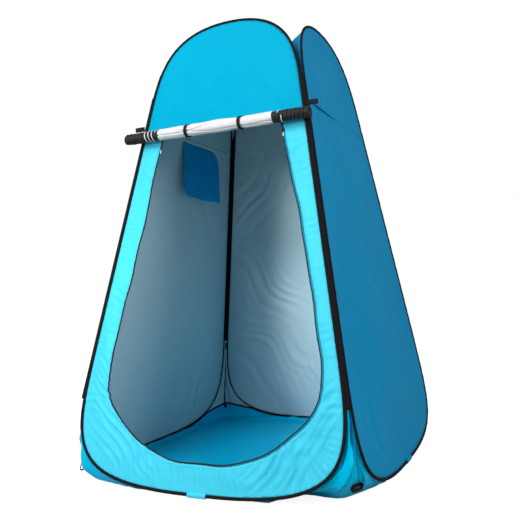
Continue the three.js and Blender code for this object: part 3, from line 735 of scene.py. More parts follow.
def zip_slider(side):
    """A slider body with its bridge, and a soft pull that hangs from it."""
    low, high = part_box(f"zip_slider_{side}")
    centre, size = (low + high) / 2, high - low
    outline = []
    for turn in np.linspace(0, 2 * math.pi, 36, endpoint=False):
        x, z = math.cos(turn), math.sin(turn)
        taper = 1 - 0.18 * (z < 0) * abs(z)
        outline.append((abs(x) ** 0.5 * math.copysign(1, x) * taper, abs(z) ** 0.6 * math.copysign(1, z)))
    outline = np.array(outline)
    normal, up = np.array(normal_of("front")), wall_axes("front")[1][1]
    layers = [(0.55, -1.0), (0.95, -0.85), (1.0, -0.3), (0.82, -0.1), (0.82, 0.1), (1.0, 0.3), (0.95, 0.85), (0.5, 1.0)]
    points = np.array([[np.array(centre) + [x * w * size.x / 2, 0, 0] + up * (z * w * size.z * 0.49)
                        + normal * (0.0013 * d) for x, z in outline] for w, d in layers])
    body = grid_object("slider_body", points, ["black_plastic"], wrap_columns=True, caps=True)
    arch = []
    for turn in np.linspace(0, math.pi, 12):
        middle = np.array(centre) + up * (0.0052 * math.cos(turn)) + normal * (0.0010 + 0.0024 * math.sin(turn))
        arch.append([middle + [0.0011 * math.cos(a), 0, 0] + normal * 0.0006 * math.sin(a)
                     for a in np.linspace(0, 2 * math.pi, 8, endpoint=False)])
    bridge = grid_object("slider_bridge", arch, ["black_plastic"], wrap_columns=True)
    body = join(f"zip_slider_body_{side}", [body, bridge])
    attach(body, f"zip_slider_{side}")
    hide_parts(f"zip_slider_{side}")

    low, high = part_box(f"zip_pull_{side}")
    centre, size = (low + high) / 2, high - low
    rows = []
    for t in np.linspace(-1, 1, 26):
        width = 0.0025 * (0.62 + 0.38 * smoothstep(-t, -0.7, 0.4)) * math.sqrt(max(0.03, 1 - abs(t) ** 10))
        grip = 0.00095 + 0.0002 * math.cos(t * 26) * (t < 0.3)
        rows.append([np.array(centre) + up * ((0.38 + 0.6 * t) * size.z * 0.49) + [width * math.cos(a), 0, 0]
                     + normal * grip * math.sin(a) for a in np.linspace(0, 2 * math.pi, 14, endpoint=False)])
    pull = grid_object(f"zip_pull_tab_{side}", rows, ["white_plastic"], wrap_columns=True, caps=True)
    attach(pull, f"zip_pull_{side}")
    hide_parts(f"zip_pull_{side}")


def stitches(name, wall, path, height, pitch=0.0070, long=0.0042, closed=False):
    """Sewing thread along a flat path on a wall. height(points) is how far out from the wall it lies."""
    path = resample(path, pitch, closed)
    ahead = np.roll(path, -1, 0) - np.roll(path, 1, 0) if closed else np.gradient(path, axis=0)
    way = ahead / np.linalg.norm(ahead, axis=1)[:, None]
    side = np.stack([way[:, 1], -way[:, 0]], 1)
    lift = height(path)
    half = 0.00045
    points = []
    for a, b, c in ((long / 2, 0, 0), (0, half, 0), (0, 0, half), (0, -half, 0), (0, 0, -half), (-long / 2, 0, 0)):
        points.append(on_wall(wall, path + way * a + side * b, lift + c))
    points = np.stack(points, 1).reshape(-1, 3)
    one = [(0, 1, 2), (0, 2, 3), (0, 3, 4), (0, 4, 1), (5, 2, 1), (5, 3, 2), (5, 4, 3), (5, 1, 4)]
    faces = [[6 * k + v for v in face] for k in range(len(path)) for face in one]
    thing = make_object(name, points, faces, np.zeros((len(faces) * 3, 2)), ["thread"])
    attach(thing, f"{wall}_wall")
    return thing


def sewing():
    """Rows of stitching: round each binding, across each panel seam and round the doorway's hem."""
    for wall in WALLS:
        seam = FRONT_SEAM if wall == "front" else WALL_SEAM
        outer = stitches(f"binding_stitches_{wall}", wall, HOOP - HOOP_OUT * 0.0047, lambda p: 0.0026 + 0 * p[:, 0],
                         closed=True)
        rows = [outer]
        half = np.interp(seam * SLOPE, HOOP[: len(HOOP) // 2, 1], HOOP[: len(HOOP) // 2, 0]) - 0.030
        relief = wall_relief(wall, seam - LAP / 2, 1)
        for step in (-0.003, 0.003):
            line = np.array([flat(-half, seam + step), flat(half, seam + step)])
            rows.append(stitches("seam_stitches", wall, resample(line, 0.01), lambda p: relief(p) + 0.0006))
        join(f"stitches_{wall}", rows)
    side = -normals_2d(DOOR_EDGE, closed=False)
    hem = DOOR_EDGE - side * 0.009
    stitches("doorway_stitches", "front", hem, lambda p: surround_relief(p) + 0.0006)


# ---- Window and its flap ------------------------------------------------------------------------------
def window():
    low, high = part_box("window_mesh")
    pitch, strand = 0.0045, 0.0022
    ring = window_ring(0.0)
    columns = np.arange(ring[:, 0].min(), ring[:, 0].max(), pitch)
    rows = np.arange(ring[:, 1].min(), ring[:, 1].max(), pitch)
    middle = np.array([(x + pitch / 2, y + pitch / 2) for y in rows for x in columns])
    middle = middle[inside(middle, ring)]
    square = np.array([(-1, -1), (1, -1), (1, 1), (-1, 1)])
    outer, inner = square * pitch / 2, square * (pitch - strand) / 2
    corners = np.concatenate([middle[:, None] + outer, middle[:, None] + inner], 1).reshape(-1, 2)
    faces = np.array([[8 * c + a, 8 * c + (a + 1) % 4, 8 * c + 4 + (a + 1) % 4, 8 * c + 4 + a]
                      for c in range(len(middle)) for a in range(4)])
    sag = -0.003 * np.sin(math.pi * (corners[:, 0] - columns[0]) / (columns[-1] - columns[0]))
    net = make_object("window_net", on_wall("left", corners, sag), faces, corners[faces].reshape(-1, 2), ["window_net"])
    thicken(net, 0.0005)
    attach(net, "left_wall")
    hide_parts("window_mesh")
    area_of(ring) * 0.8
    band = resample(ring, 0.005, closed=True)
    side = normals_2d(band)
    across = np.linspace(-0.006, 0.013, 6)
    strip = np.array([band + side * a for a in across]).transpose(1, 0, 2)
    along = np.arange(len(band)) * 0.005
    lift = 0.0012 + 0.0003 * ripple(along, 0.02, 400)[:, None] * np.array([0, 1, 1, 1, 1, 0])
    edge = grid_object("window_binding", on_wall("left", strip, lift), ["binding_cloth"], wrap_rows=True)
    thicken(edge, 0.0009)
    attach(edge, "left_wall")


FLAP_REACH = 0.026  # how far the flap's cloth goes beyond its stiff body towards the front


def window_flap():
    """A flap of dark cloth that hangs inside the left wall, sewn along its top edge."""
    low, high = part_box("window_flap")
    width, length = high.y - low.y + FLAP_REACH, high.z - low.z + 0.008
    ring = []
    for corner, x, y, start in ((0.050, 1, -1, -90), (0.012, 1, 1, 0), (0.070, 0, 1, 90), (0.012, 0, -1, 180)):
        middle = (width - corner if x else corner, -length + corner if y < 0 else -corner)
        for turn in np.radians(np.linspace(0, 90, 8) + start):
            ring.append((middle[0] + corner * math.cos(turn), middle[1] + corner * math.sin(turn)))
    ring = np.array(ring)
    ring = resample(ring, 0.006, closed=True)
    points, faces = fill(ring, 0.007)
    down = -points[:, 1] / length
    edge = nearest(points, ring)[0]
    hang = 0.0045 * down * (1.6 + np.sin(points[:, 0] / width * 2 * math.pi * 1.3 + 0.8))
    hang += 0.0022 * down**0.5 * waves(points, 0.11, 410) + 0.0010 * smoothstep(edge, 0.012, 0.006)
    hang += creases(points, (0.10, -0.05), -55, 0.10, 0.06, 0.03, 0.0016, 411)
    hang += 0.0012 * np.exp(-(((edge - 0.014) / 0.0035) ** 2))
    place = np.stack([(low.x + high.x) / 2 + hang, high.y - points[:, 0], high.z + points[:, 1]], 1)
    flap = make_object("window_flap_cloth", place, faces, points[faces].reshape(-1, 2), ["dark_blue_cloth"])
    thicken(flap, 0.0008)
    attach(flap, "window_flap")
    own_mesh(flap)
    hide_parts("window_flap")
    area_of(ring)


# ---- Roof ---------------------------------------------------------------------------------------------
def curve_at(corners, parameter):
    t = np.asarray(parameter, float)[..., None]
    p = [np.asarray(c) for c in corners]
    return (1 - t) ** 3 * p[0] + 3 * (1 - t) ** 2 * t * p[1] + 3 * (1 - t) * t * t * p[2] + t**3 * p[3]


def turned(points, quarter_turns):
    turn = np.array(Matrix.Rotation(quarter_turns * math.pi / 2, 3, "Z"))
    return points @ turn.T


def roof_edge(quarter, along):
    place = curve_at(HIGH_ARC, 1 - np.abs(along))
    height = place[..., 1] / SLOPE
    inset = 0.0052 + 0.0025 * np.abs(along) ** 8
    points = np.stack([np.sign(along) * (place[..., 0] - 0.002), -(reach_at(height) - inset), height - 0.002], -1)
    return turned(points, quarter)


def roof():
    """Four gores, each sewn to its own wall's hoop, that meet along the roof's diagonals."""
    middle = 1.792
    for quarter, wall in enumerate(WALLS):
        ring, along = np.meshgrid(np.linspace(0.001, 1, 39), np.linspace(-1, 1, 77), indexing="ij")
        edge = roof_edge(quarter, along)
        height = middle + (edge[..., 2] - middle) * ring**2.5
        points = np.stack([edge[..., 0] * ring, edge[..., 1] * ring, height], -1)
        plan = points[..., :2].reshape(-1, 2)
        free = smoothstep(1 - ring, 0, 0.25)
        relief = 0.0035 * waves(plan, 0.22, 500).reshape(ring.shape)
        relief += 0.0010 * waves(plan, 0.06, 501, 14).reshape(ring.shape)
        angle = np.arctan2(points[..., 1], points[..., 0])
        tension = 0.0042 * (ripple(angle, 0.16, 502) * smoothstep(ring, 0.35, 0.8)) * smoothstep(1 - ring, 0, 0.12)
        points[..., 2] += relief * free + tension
        cloth = grid_object(f"roof_cloth_{wall}", points, ["blue_cloth"])
        thicken(cloth, inner="silver_coating")
        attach(cloth, f"{wall}_wall")
        on_wall(wall, flat(0, HOOP_TOP - 0.01), -0.006)
        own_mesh(cloth)
        if wall == "front":
            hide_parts("roof_panel")


# ---- Gussets and floor --------------------------------------------------------------------------------
GUSSET_LOW, GUSSET_HIGH = 0.16, 0.93  # stretch of the hoop's lower arc that a gusset is sewn to
FOOT_RISE, FOOT_HEIGHT = 0.130, 0.0026
FOOT_INSET = {"front_right": 0.086, "back_right": 0.050, "back_left": 0.022, "front_left": 0.046}
FOOT_DRAWN_IN = {"front_right": 0.080, "back_right": 0.03, "back_left": 0.0, "front_left": 0.03}
FOLD_DEPTH = {"front_right": 0.0230, "back_right": 0.012, "back_left": 0.008, "front_left": 0.013}
BATHTUB = 0.80  # share of the way down at which the waterproof foot starts


def ridges(place, count, phase):
    """Sharp outward ridges with rounded valleys between them, about -1 to 1."""
    return 1 - 2 * np.abs(np.sin(math.pi * (count * place + phase)))


def gusset_points(corner, across, down):
    """Places on a gusset: across 0 at its first wall's hoop and 1 at the next one's, down 0 at its top."""
    quarter = CORNERS.index(corner)
    place = curve_at(LOW_ARC, GUSSET_HIGH + (GUSSET_LOW - GUSSET_HIGH) * down)
    height = place[..., 1] / SLOPE
    behind = reach_at(height) - 0.0055
    front = np.stack([place[..., 0], -behind, height], -1)
    right = np.stack([behind, -place[..., 0], height], -1)
    top = curve_at(LOW_ARC, np.array(GUSSET_HIGH))[1] / SLOPE
    crease_height = top + (FOOT_HEIGHT - top) * down
    tuck = np.clip(1 - crease_height / FOOT_RISE, 0, None) ** 2
    reach = reach_at(crease_height) - CORNER_GAP + 0.001 - FOOT_INSET[corner] * tuck
    crease = np.stack([reach, -reach, crease_height], -1)
    softness = 0.1 + 0.2 * down**3

    def weight(w):
        return (np.hypot(w, softness) + w - (np.hypot(1, softness) - 1)) / 2

    w = 2 * across - 1
    base = crease + (front - crease) * weight(-w)[..., None] + (right - crease) * weight(w)[..., None]
    random = np.random.default_rng(600 + 7 * quarter)
    one, two, three = random.uniform(0, 1, 3)
    middle = (across * (1 - across) * 4) ** 0.8
    loose = middle * smoothstep(down, 0.12, 0.5) * (1 - 0.65 * smoothstep(down, 0.86, 1))
    loose = loose * (1 - 0.55 * smoothstep(across, 0.55, 0.85))
    fan = 0.66 * ridges(across + 0.07 * np.sin(4 * down + 6 * one), 1.7, one + 0.35 * down)
    fan += 0.30 * ridges(across - 0.08 * np.sin(3 * down), 3.6, two - 0.6 * down)
    cross = 0.36 * ridges(down + 0.55 * across + 0.05 * np.sin(9 * across), 2.6, three)
    fine = 0.09 * ripple(across + 0.3 * down, 0.07, 601 + quarter, 5)
    narrow = middle * smoothstep(down, 0.03, 0.14) * smoothstep(down, 0.62, 0.30)
    offset = FOLD_DEPTH[corner] * (fan + cross + fine) * loose
    offset = offset + 0.0042 * narrow * ridges(across, 3.0, three)
    drawn = smoothstep(down, 0.80, 1.0) * smoothstep(across, 0, 0.16) * smoothstep(across, 0.62, 0.12)
    base[..., 1] += FOOT_DRAWN_IN[corner] * drawn
    place = base + np.array([1, -1, 0.15])[None, None] / math.sqrt(2) * offset[..., None]
    return turned(place, quarter)


def gusset_piece(corner, name, first, last, look, inner):
    rows = max(9, round(84 * (last - first)))
    down, across = np.meshgrid(np.linspace(first, last, rows), np.linspace(0, 1, 81), indexing="ij")
    cloth = grid_object(name, gusset_points(corner, across, down), [look])
    thicken(cloth, 0.0009, inner)
    return cloth


FOLDS = {"front_right": ("front_wall", "right_wall"), "back_right": ("right_wall", "back_wall"),
         "front_left": ("front_wall", "left_wall")}


def ride_corner(thing, corner):
    """A soft corner piece stays where it is built. The open corner's pieces move with the left wall."""
    if corner in FOLDS:
        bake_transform(thing)
    else:
        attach(thing, "left_wall")
        anchor = on_wall("left", flat(0, 0.3), -0.008)
        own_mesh(thing)


def gussets():
    for corner in CORNERS:
        look = "bright_blue_cloth" if corner.startswith("front") else "blue_cloth"
        upper = gusset_piece(corner, f"gusset_cloth_{corner}", 0, BATHTUB, look, "silver_coating")
        lower = gusset_piece(corner, f"gusset_foot_{corner}", BATHTUB - 0.012, 1, "floor_cloth", "floor_cloth")
        for piece in (upper, lower):
            ride_corner(piece, corner)
        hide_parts(f"gusset_{corner}")
        down = np.linspace(0.02, BATHTUB + 0.02, 40)[:, None]
        line = gusset_points(corner, np.full((40, 1), 0.5), down)[:, 0]
        inward = turned(np.array([[-1, 1, 0]]) / math.sqrt(2), CORNERS.index(corner))[0]
        along = turned(np.array([[1, 1, 0]]) / math.sqrt(2), CORNERS.index(corner))[0]
        deep = 0.0060 if corner == "front_right" else 0.0030
        seam = strap(f"gusset_seam_{corner}", line + inward * deep, 0.008, 0.0014, along, look="binding_cloth")
        ride_corner(seam, corner)


FLOOR_UPSTAND = 0.021  # how far the floor cloth turns up inside each wall's lower hoop


def floor_edge(spacing=0.010):
    """The rim of the floor in space: the feet's ground lines, and a low upstand along each wall between them."""
    points = []
    for quarter, corner in enumerate(CORNERS):
        foot = gusset_points(corner, np.linspace(0, 1, 60)[None], np.ones((1, 60)))[0]
        start = turned(foot[:1], -quarter)[0]
        x = np.linspace(-start[0], start[0], 50)[1:-1]
        share = np.abs(x / start[0]) ** 6
        rise = FLOOR_UPSTAND + (start[2] - FLOOR_UPSTAND) * share
        back = -(REACH - 0.0095) + (start[1] + REACH - 0.0095) * share
        side = np.stack([x, back, rise + 0.0012 * ripple(x, 0.12, 690 + quarter)], 1)
        points += [turned(side, quarter), foot]
    return resample(np.vstack(points), spacing, closed=True)


def tape_line():
    """The seam of the floor: round the top of each bathtub corner, down the hoops and along the walls' upstands."""
    points = []
    for quarter, corner in enumerate(CORNERS):
        def side_column(across, down):
            return gusset_points(corner, np.full((len(down), 1), across), down[:, None])[:, 0]

        start = turned(side_column(0, np.array([1.0])), -quarter)[0]
        x = np.linspace(-start[0], start[0], 40)[1:-1]
        share = np.abs(x / start[0]) ** 6
        height = FLOOR_UPSTAND + (start[2] - FLOOR_UPSTAND) * share
        wall = np.stack([x, -(REACH - 0.0095) + (start[1] + REACH - 0.0095) * share, height], 1)
        top = gusset_points(corner, np.linspace(0, 1, 50)[None], np.full((1, 50), BATHTUB))[0]
        points += [turned(wall, quarter), side_column(0, np.linspace(1, BATHTUB, 14)[:-1]), top,
                   side_column(1, np.linspace(BATHTUB, 1, 14)[1:])]
    return resample(np.vstack(points), 0.008, closed=True)


def squash_to_front(thing):
    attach(thing, "front_wall")
    on_wall("front", flat(0, 0.02), -0.010)
    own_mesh(thing)


def floor():
    rim = floor_edge()
    ring = rim[:, :2]
    points, faces = fill(ring, 0.013)
    edge, along = nearest(points, ring)
    step = np.concatenate([[0], np.cumsum(np.linalg.norm(np.diff(ring, axis=0), axis=1))])
    rise = np.interp(along, step, rim[:, 2])
    free = smoothstep(edge, 0.012, 0.10)
    angle = np.arctan2(points[:, 1], points[:, 0])
    height = 0.0012 + free * (0.0018 + 0.0013 * waves(points, 0.24, 700) + 0.0005 * waves(points, 0.06, 701, 14))
    height += 0.0010 * free * smoothstep(edge, 0.30, 0.03) * (1 + ripple(angle, 0.12, 702))
    height = np.clip(height, 0.0008, None)
    height += np.clip(rise - height, 0, None) * smoothstep(edge, 0.020, 0.0)
    cloth = make_object("floor_sheet", np.column_stack([points, height]), faces, points[faces].reshape(-1, 2),
                        ["floor_cloth"])
    thicken(cloth, 0.0009)
    squash_to_front(cloth)
    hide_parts("floor")
    area_of(ring)
    line = tape_line()
    way = np.roll(line, -1, 0) - np.roll(line, 1, 0)
    inward = np.stack([-way[:, 1], way[:, 0], np.zeros(len(line))], 1)
    inward /= np.linalg.norm(inward, axis=1)[:, None]
    across = np.linspace(-0.5, 0.5, 5)[None, :, None] * 0.0085
    strip = (line + inward * 0.0024)[:, None] + (inward * 0.35 - np.array([0, 0, 1.0]))[:, None] * across
    strip[..., 2] = np.clip(strip[..., 2], 0.0032, None)
    tape = grid_object("floor_tape", strip, ["binding_cloth"], wrap_rows=True)
    thicken(tape, 0.0009)
    squash_to_front(tape)
    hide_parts("floor_seam_tape")


# ---- Straps -------------------------------------------------------------------------------------------
def strap(name, path, wide, thick, across, closed=False, look="webbing"):
    """A flat strap along a path in space. across is the direction of its width."""
    path, across = np.asarray(path, float), np.asarray(across, float)
    way = np.roll(path, -1, 0) - np.roll(path, 1, 0) if closed else np.gradient(path, axis=0)
    way /= np.linalg.norm(way, axis=1)[:, None]
    side = across - way * (way @ across)[:, None]
    side /= np.linalg.norm(side, axis=1)[:, None]
    up = np.cross(way, side)
    turns = np.linspace(0, 2 * math.pi, 16, endpoint=False)
    a = np.sign(np.cos(turns)) * np.abs(np.cos(turns)) ** 0.35 * wide / 2
    b = np.sign(np.sin(turns)) * np.abs(np.sin(turns)) ** 0.5 * thick / 2
    points = path[:, None] + side[:, None] * a[None, :, None] + up[:, None] * b[None, :, None]
    return grid_object(name, points, [look], wrap_rows=closed, wrap_columns=True, caps=not closed)


def loop_path(long, wide, corner, count=15):
    """A rounded rectangle in a plane, centred, as a closed path."""
    points = []
    for quarter, (x, y) in enumerate([(1, -1), (1, 1), (-1, 1), (-1, -1)]):
        for turn in np.radians(np.linspace(-90, 0, count) + 90 * quarter):
            points.append((x * (wide / 2 - corner) + corner * math.cos(turn), y * (long / 2 - corner) + corner * math.sin(turn)))
    return resample(np.array(points), 0.002, closed=True)


def peg_loops():
    """Loops of webbing sewn to the gussets' feet: each stands out from the cloth as a flattened ring."""
    for quarter, corner in enumerate(CORNERS):
        out = turned(np.array([[1, -1, 0]]) / math.sqrt(2), quarter)[0]
        place = (0.58, 0.845) if corner == "front_right" else (0.5, 0.86)
        centre = gusset_points(corner, np.array([[place[0]]]), np.array([[place[1]]]))[0, 0] + out * (0.017 if corner == "front_right" else 0.007)
        along = turned(np.array([[1, 1, 0]]) / math.sqrt(2), quarter)[0]
        up = np.array([0, 0, 1.0])
        if corner == "front_right":
            long_way, wide = along + 0.12 * up, up + 0.6 * out
        else:
            long_way, wide = up - 0.3 * out, along
        ring = loop_path(0.040, 0.014, 0.0065) if corner == "front_right" else loop_path(0.034, 0.012, 0.0055)
        path = centre + long_way * ring[:, 1:] + np.cross(long_way, wide) * ring[:, :1]
        loop = strap(f"peg_webbing_{corner}", path, 0.0175 if corner == "front_right" else 0.0155, 0.0034, wide, closed=True)
        ride_corner(loop, corner)
        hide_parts(f"peg_loop_{corner}")


def guy_loops():
    for side, sign in (("right", 1), ("left", -1)):
        low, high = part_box(f"guy_loop_front_{side}")
        centre, size = np.array((low + high) / 2), np.array(high - low)
        ring = loop_path(size[0] - 0.017, size[1] - 0.003, (size[1] - 0.003) / 2) + [0, -0.0065]
        path = centre + np.stack([ring[:, 1] * sign, ring[:, 0], np.zeros(len(ring))], 1)
        loop = strap(f"guy_webbing_front_{side}", path, size[2] * 0.80, 0.0014, (0, 0, 1), closed=True)
        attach(loop, "front_wall")
        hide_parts(f"guy_loop_front_{side}")


# ---- Rolled door --------------------------------------------------------------------------------------
ROLL_LOW, ROLL_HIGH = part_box("door_roll")
TAPES = {side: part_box(f"roll_tape_{side}") for side in ("left", "right")}
TIES = {side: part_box(f"tie_{side}") for side in ("left", "right")}
ROLL_AXIS = np.array([0, (ROLL_LOW.y + ROLL_HIGH.y) / 2, (ROLL_LOW.z + ROLL_HIGH.z) / 2])
ROLL_TURNS = 160


def about_roll(stations, radii):
    """A grid of points round the roll's axis, from radii[station, turn]."""
    turns = np.linspace(0, 2 * math.pi, radii.shape[1], endpoint=False)
    points = np.zeros(radii.shape + (3,))
    points[..., 0] = np.asarray(stations)[:, None]
    points[..., 1] = ROLL_AXIS[1] - radii * np.cos(turns)
    points[..., 2] = ROLL_AXIS[2] + radii * np.sin(turns)
    return points


def tie_places():
    return {side: (low.x + high.x) / 2 for side, (low, high) in TIES.items()}


def squash_roll(thing):
    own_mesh(thing)


def rolled_cloth():
    """The rolled lining: long slanting folds between the ties, drawn in at each tie."""
    left, right = TAPES["left"][1].x - 0.004, TAPES["right"][0].x + 0.004
    stations = np.linspace(left, right, 230)
    turns = np.linspace(0, 2 * math.pi, ROLL_TURNS, endpoint=False)
    x, turn = np.meshgrid(stations, turns, indexing="ij")
    body = 0.0250 + 0.0007 * ripple(x, 0.16, 800)
    places = list(tie_places().values())
    for place in places:
        body -= 0.0040 * np.exp(-(((x - place) / 0.022) ** 2))
    body += 0.0014 * np.exp(-(((x - sum(places) / 2) / 0.07) ** 2))
    near_tie = sum(np.exp(-(((x - place) / 0.05) ** 2)) for place in places)
    folds = np.zeros(x.shape)
    for start, drift, depth, sharp in ((0.5, 3.6, 0.0105, 9), (1.9, -2.6, 0.0090, 12), (3.2, 5.0, 0.0095, 10),
                                       (4.6, 2.2, 0.0100, 9), (5.6, -4.4, 0.0085, 13)):
        wander = start + drift * x + 0.35 * np.sin(x * 15 + start)
        step = (turn - wander + math.pi) % (2 * math.pi) - math.pi
        lap = np.exp(-np.clip(step, 0, None) * sharp) * (step > 0) + np.exp(np.clip(step, None, 0) * sharp * 2.5) * (step <= 0)
        folds -= depth * lap * (0.75 + 0.25 * np.sin(x * 11 + 2 * start))
    folds -= 0.0012 * near_tie * np.clip(np.cos(9 * turn + 20 * x), 0, None) ** 2
    roll = grid_object("rolled_lining", about_roll(stations, body + folds), ["lining_cloth"], wrap_columns=True)
    thicken(roll, 0.0009)
    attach(roll, "rolled_door")
    squash_roll(roll)
    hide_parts("door_roll")


def wound_end(side):
    """A black end of the roll, wound with zip tape, with pale zip edges near its inner end and a coiled end face."""
    low, high = TAPES[side]
    inner, outer = (high.x, low.x) if side == "left" else (low.x, high.x)
    sign = 1 if outer > inner else -1
    length = abs(outer - inner)
    pitch = 0.0175
    plain = 0.016 if side == "left" else 0.028
    stations = np.linspace(0, length, 200)
    turns = np.linspace(0, 2 * math.pi, 64, endpoint=False)
    s, turn = np.meshgrid(stations, turns, indexing="ij")
    phase = (s / pitch - turn / (2 * math.pi)) % 1
    rib = np.where(s > plain, np.clip(np.sin(phase * math.pi), 0, None) ** 0.4, 0.85)
    radii = 0.0172 + 0.0068 * rib + 0.0005 * ripple(s, 0.03, 820) + 0.0004 * np.sin(3 * turn + s * 60)
    radii *= 1 - 0.10 * smoothstep(s, length - 0.010, length)
    rings = about_roll(inner + sign * stations, radii)
    centre = [0.90, 0.84, 0.70, 0.62, 0.50, 0.40, 0.02]
    depth = [0.000, 0.007, 0.003, 0.012, 0.006, 0.022, 0.024]
    for share, inset in zip(centre, depth):
        rings = np.concatenate([rings, about_roll([outer - sign * inset], np.full((1, 64), 0.0215 * share))])
    wound = grid_object(f"wound_tape_{side}", rings, ["wound_tape"], wrap_columns=True)
    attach(wound, "rolled_door")
    squash_roll(wound)
    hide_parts(f"roll_tape_{side}")
    first, last = (0.018, 0.076) if side == "left" else (0.030, 0.046)
    t = np.linspace(0, 1, 120)
    angle = t * (last - first) / pitch * 2 * math.pi + 0.4
    radius = 0.0242
    path = np.stack([inner + sign * (first + (last - first) * t), ROLL_AXIS[1] - radius * np.cos(angle),
                     ROLL_AXIS[2] + radius * np.sin(angle)], 1)
    pale = strap(f"roll_zip_edge_{side}", path, 0.0036, 0.0012, (1, 0, 0), look="white_plastic")
    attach(pale, "rolled_door")
    squash_roll(pale)


def ties():
    for side, place in tie_places().items():
        turns = np.linspace(0, 2 * math.pi, 72, endpoint=False)
        radius = 0.0268 + 0.0006 * np.cos(3 * turns)
        path = np.stack([np.full(72, place) + 0.0018 * np.sin(turns), ROLL_AXIS[1] - radius * np.cos(turns),
                         ROLL_AXIS[2] + radius * np.sin(turns)], 1)
        loop = strap("tie_loop", path, 0.0130, 0.0016, (1, 0, 0), closed=True)
        tail = [(place, ROLL_AXIS[1] + 0.012, ROLL_AXIS[2] + 0.0250), (place, ROLL_AXIS[1] + 0.024, ROLL_AXIS[2] + 0.024),
                (place, ROLL_AXIS[1] + 0.033, ROLL_AXIS[2] + 0.014)]
        tail = resample(spline(np.array(tail), 8), 0.002)
        loop = join(f"tie_webbing_{side}", [loop, strap("tie_tail", tail, 0.0105, 0.0014, (1, 0, 0))])
        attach(loop, "front_wall")
        anchor = on_wall("front", flat(0, 1.39), 0.004)
        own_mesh(loop)
        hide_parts(f"tie_{side}")
        low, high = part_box(f"toggle_{side}")
        centre = np.array((low + high) / 2)
        rows = []
        for t in np.linspace(-1, 1, 30):
            radius = 0.0033 * math.sqrt(max(0.02, 1 - abs(t) ** 8)) * (1 - 0.22 * math.exp(-((t / 0.16) ** 2)))
            rows.append([centre + [t * 0.012, radius * math.cos(a), radius * math.sin(a)]
                         for a in np.linspace(0, 2 * math.pi, 20, endpoint=False)])
        toggle = grid_object(f"toggle_barrel_{side}", rows, ["black_plastic"], wrap_columns=True, caps=True)
        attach(toggle, "front_wall")
        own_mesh(toggle)
        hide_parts(f"toggle_{side}")


def door_lead():
    """The top of the door, from the seam to the roll."""
    travel = 1.19
    rows, columns = 90, 61
    t = np.linspace(0, 1, rows)
    edge = DOOR_EDGE[DOOR_EDGE[:, 0] > 0]
    order = np.argsort(edge[:, 1])
    start = on_wall("front", flat(0, FRONT_SEAM - 0.004), 0.0025)
    end = ROLL_AXIS + np.array([0, 0.0235, 0.004])
    points = np.zeros((rows, columns, 3))
    for k, share in enumerate(t):
        fall = travel * smoothstep(share, 0, 1) / SLOPE
        level = (FRONT_SEAM - 0.01 - fall) * SLOPE
        half = np.interp(level, edge[order, 1], edge[order, 0]) + 0.006
        half = min(half, 0.44)
        across = np.linspace(-half + DOOR_SAG * 0.7, half, columns)
        place = start + (end - start) * share
        points[k] = place
        points[k, :, 0] = across
    cloth = grid_object("door_cloth", points, ["light_blue_cloth"])
    thicken(cloth, 0.0006, "silver_coating")
    length = float(np.linalg.norm(end - start))
    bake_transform(cloth)
    return length


# ---- Steel that stays as the CAD has it ----------------------------------------------------------------
def finish_steel():
    for name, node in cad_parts.items():
        if name.startswith(("hoop_", "ferrule_")):
            node.data.materials.clear()
            node.data.materials.append(LOOK["spring_steel"])


# ---- Camera, floor and lights -------------------------------------------------------------------------
AMBIENT = 0.32
LAMPS = [("key", (-2.0, -4.9, 1.75), 1.3, 122), ("high", (-0.6, -3.4, 3.6), 1.8, 112),
         ("fill", (4.2, -1.2, 2.4), 2.2, 108), ("back", (-1.4, 4.6, 2.8), 2.4, 110)]


def camera():
    """The viewpoint: in front of the right corner, at less than half the tent's height."""
    azimuth, elevation, roll = math.radians(22.271), math.radians(-7.924), math.radians(-2.275)
    forward = Vector((-math.sin(azimuth) * math.cos(elevation), math.cos(azimuth) * math.cos(elevation),
                      -math.sin(elevation)))
    right = Vector((math.cos(azimuth), math.sin(azimuth), 0))
    up = right.cross(forward)
    turned_right = right * math.cos(roll) + up * math.sin(roll)
    turned_up = -right * math.sin(roll) + up * math.cos(roll)
    data = bpy.data.cameras.new("camera")
    data.sensor_width = 36
    data.lens = 41.43
    data.shift_x, data.shift_y = -0.0854, -0.1096
    thing = bpy.data.objects.new("camera", data)
    bpy.context.scene.collection.objects.link(thing)
    thing.location = (1.2320, -2.5154, 0.7250)
    axes = Matrix((turned_right, turned_up, -forward)).transposed()
    thing.rotation_mode = "QUATERNION"
    thing.rotation_quaternion = axes.to_quaternion()
    bpy.context.scene.camera = thing


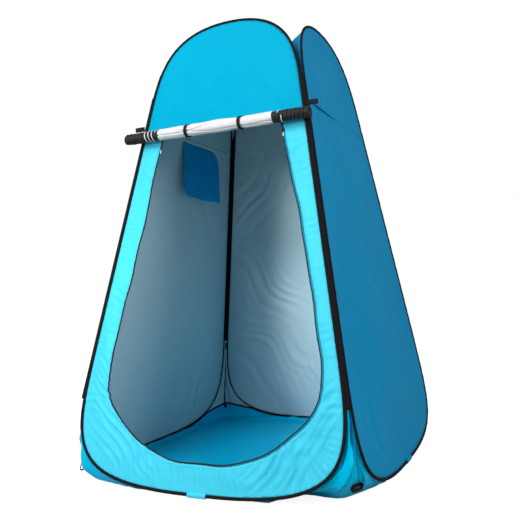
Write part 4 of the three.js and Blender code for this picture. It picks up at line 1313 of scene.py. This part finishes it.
def studio():
    """A white studio: a bright background behind the tent, softer light all round it, lamps on every side and a beam through the doorway."""
    world = bpy.data.worlds.new("studio")
    bpy.context.scene.world = world
    world.use_nodes = True
    tree = world.node_tree
    tree.nodes["Background"].inputs["Color"].default_value = (1, 1, 1, 1)
    ray = tree.nodes.new("ShaderNodeLightPath")
    level = tree.nodes.new("ShaderNodeMapRange")
    level.inputs["To Min"].default_value = AMBIENT
    level.inputs["To Max"].default_value = 1.0
    tree.links.new(ray.outputs["Is Camera Ray"], level.inputs["Value"])
    tree.links.new(level.outputs["Result"], tree.nodes["Background"].inputs["Strength"])
    n = Nodes("studio_floor")
    place = n.add("ShaderNodeTexCoord").outputs["Object"]
    n.set(Base_Color=n.mix(n.noise(place, 0.6), (0.36, 0.36, 0.36, 1), (0.38, 0.38, 0.38, 1)), Roughness=0.9,
          Specular_IOR_Level=0.05, Emission_Color=(1, 1, 1, 1))
    n.set(Emission_Strength=n.math("MULTIPLY", n.add("ShaderNodeLightPath").outputs["Is Camera Ray"], 0.9))
    mesh = bpy.data.meshes.new("studio_floor")
    mesh.from_pydata([(x, y, -0.0005) for x, y in ((-60, -60), (60, -60), (60, 60), (-60, 60))], [], [(0, 1, 2, 3)])
    mesh.materials.append(n.material)
    plane = bpy.data.objects.new("studio_floor", mesh)
    bpy.context.scene.collection.objects.link(plane)
    for name, place, size, power in LAMPS:
        data = bpy.data.lights.new(name, "AREA")
        data.energy, data.size = power, size
        lamp = bpy.data.objects.new(name, data)
        bpy.context.scene.collection.objects.link(lamp)
        lamp.location = place
        lamp.rotation_euler = (Vector((0, 0, 0.9)) - Vector(place)).to_track_quat("-Z", "Y").to_euler()
    data = bpy.data.lights.new("beam", "SPOT")
    data.energy, data.shadow_soft_size, data.spot_size, data.spot_blend = 380, 0.4, math.radians(17), 1.0
    lamp = bpy.data.objects.new("beam", data)
    bpy.context.scene.collection.objects.link(lamp)
    lamp.location = (-0.9, -3.8, 1.0)
    lamp.rotation_euler = (Vector((0.14, 0.58, 0.66)) - Vector((-0.9, -3.8, 1.0))).to_track_quat("-Z", "Y").to_euler()
    bpy.context.scene.view_settings.view_transform = "Standard"


camera()
studio()
for wall in WALLS:
    sleeve(wall)
    joint_patch(wall)
front_wall()
plain_walls()
door_zip()
sewing()
window()
window_flap()
roof()
floor()
gussets()
peg_loops()
guy_loops()
rolled_cloth()
for side in ("left", "right"):
    wound_end(side)
    zip_slider(side)
ties()
door_lead()
finish_steel()
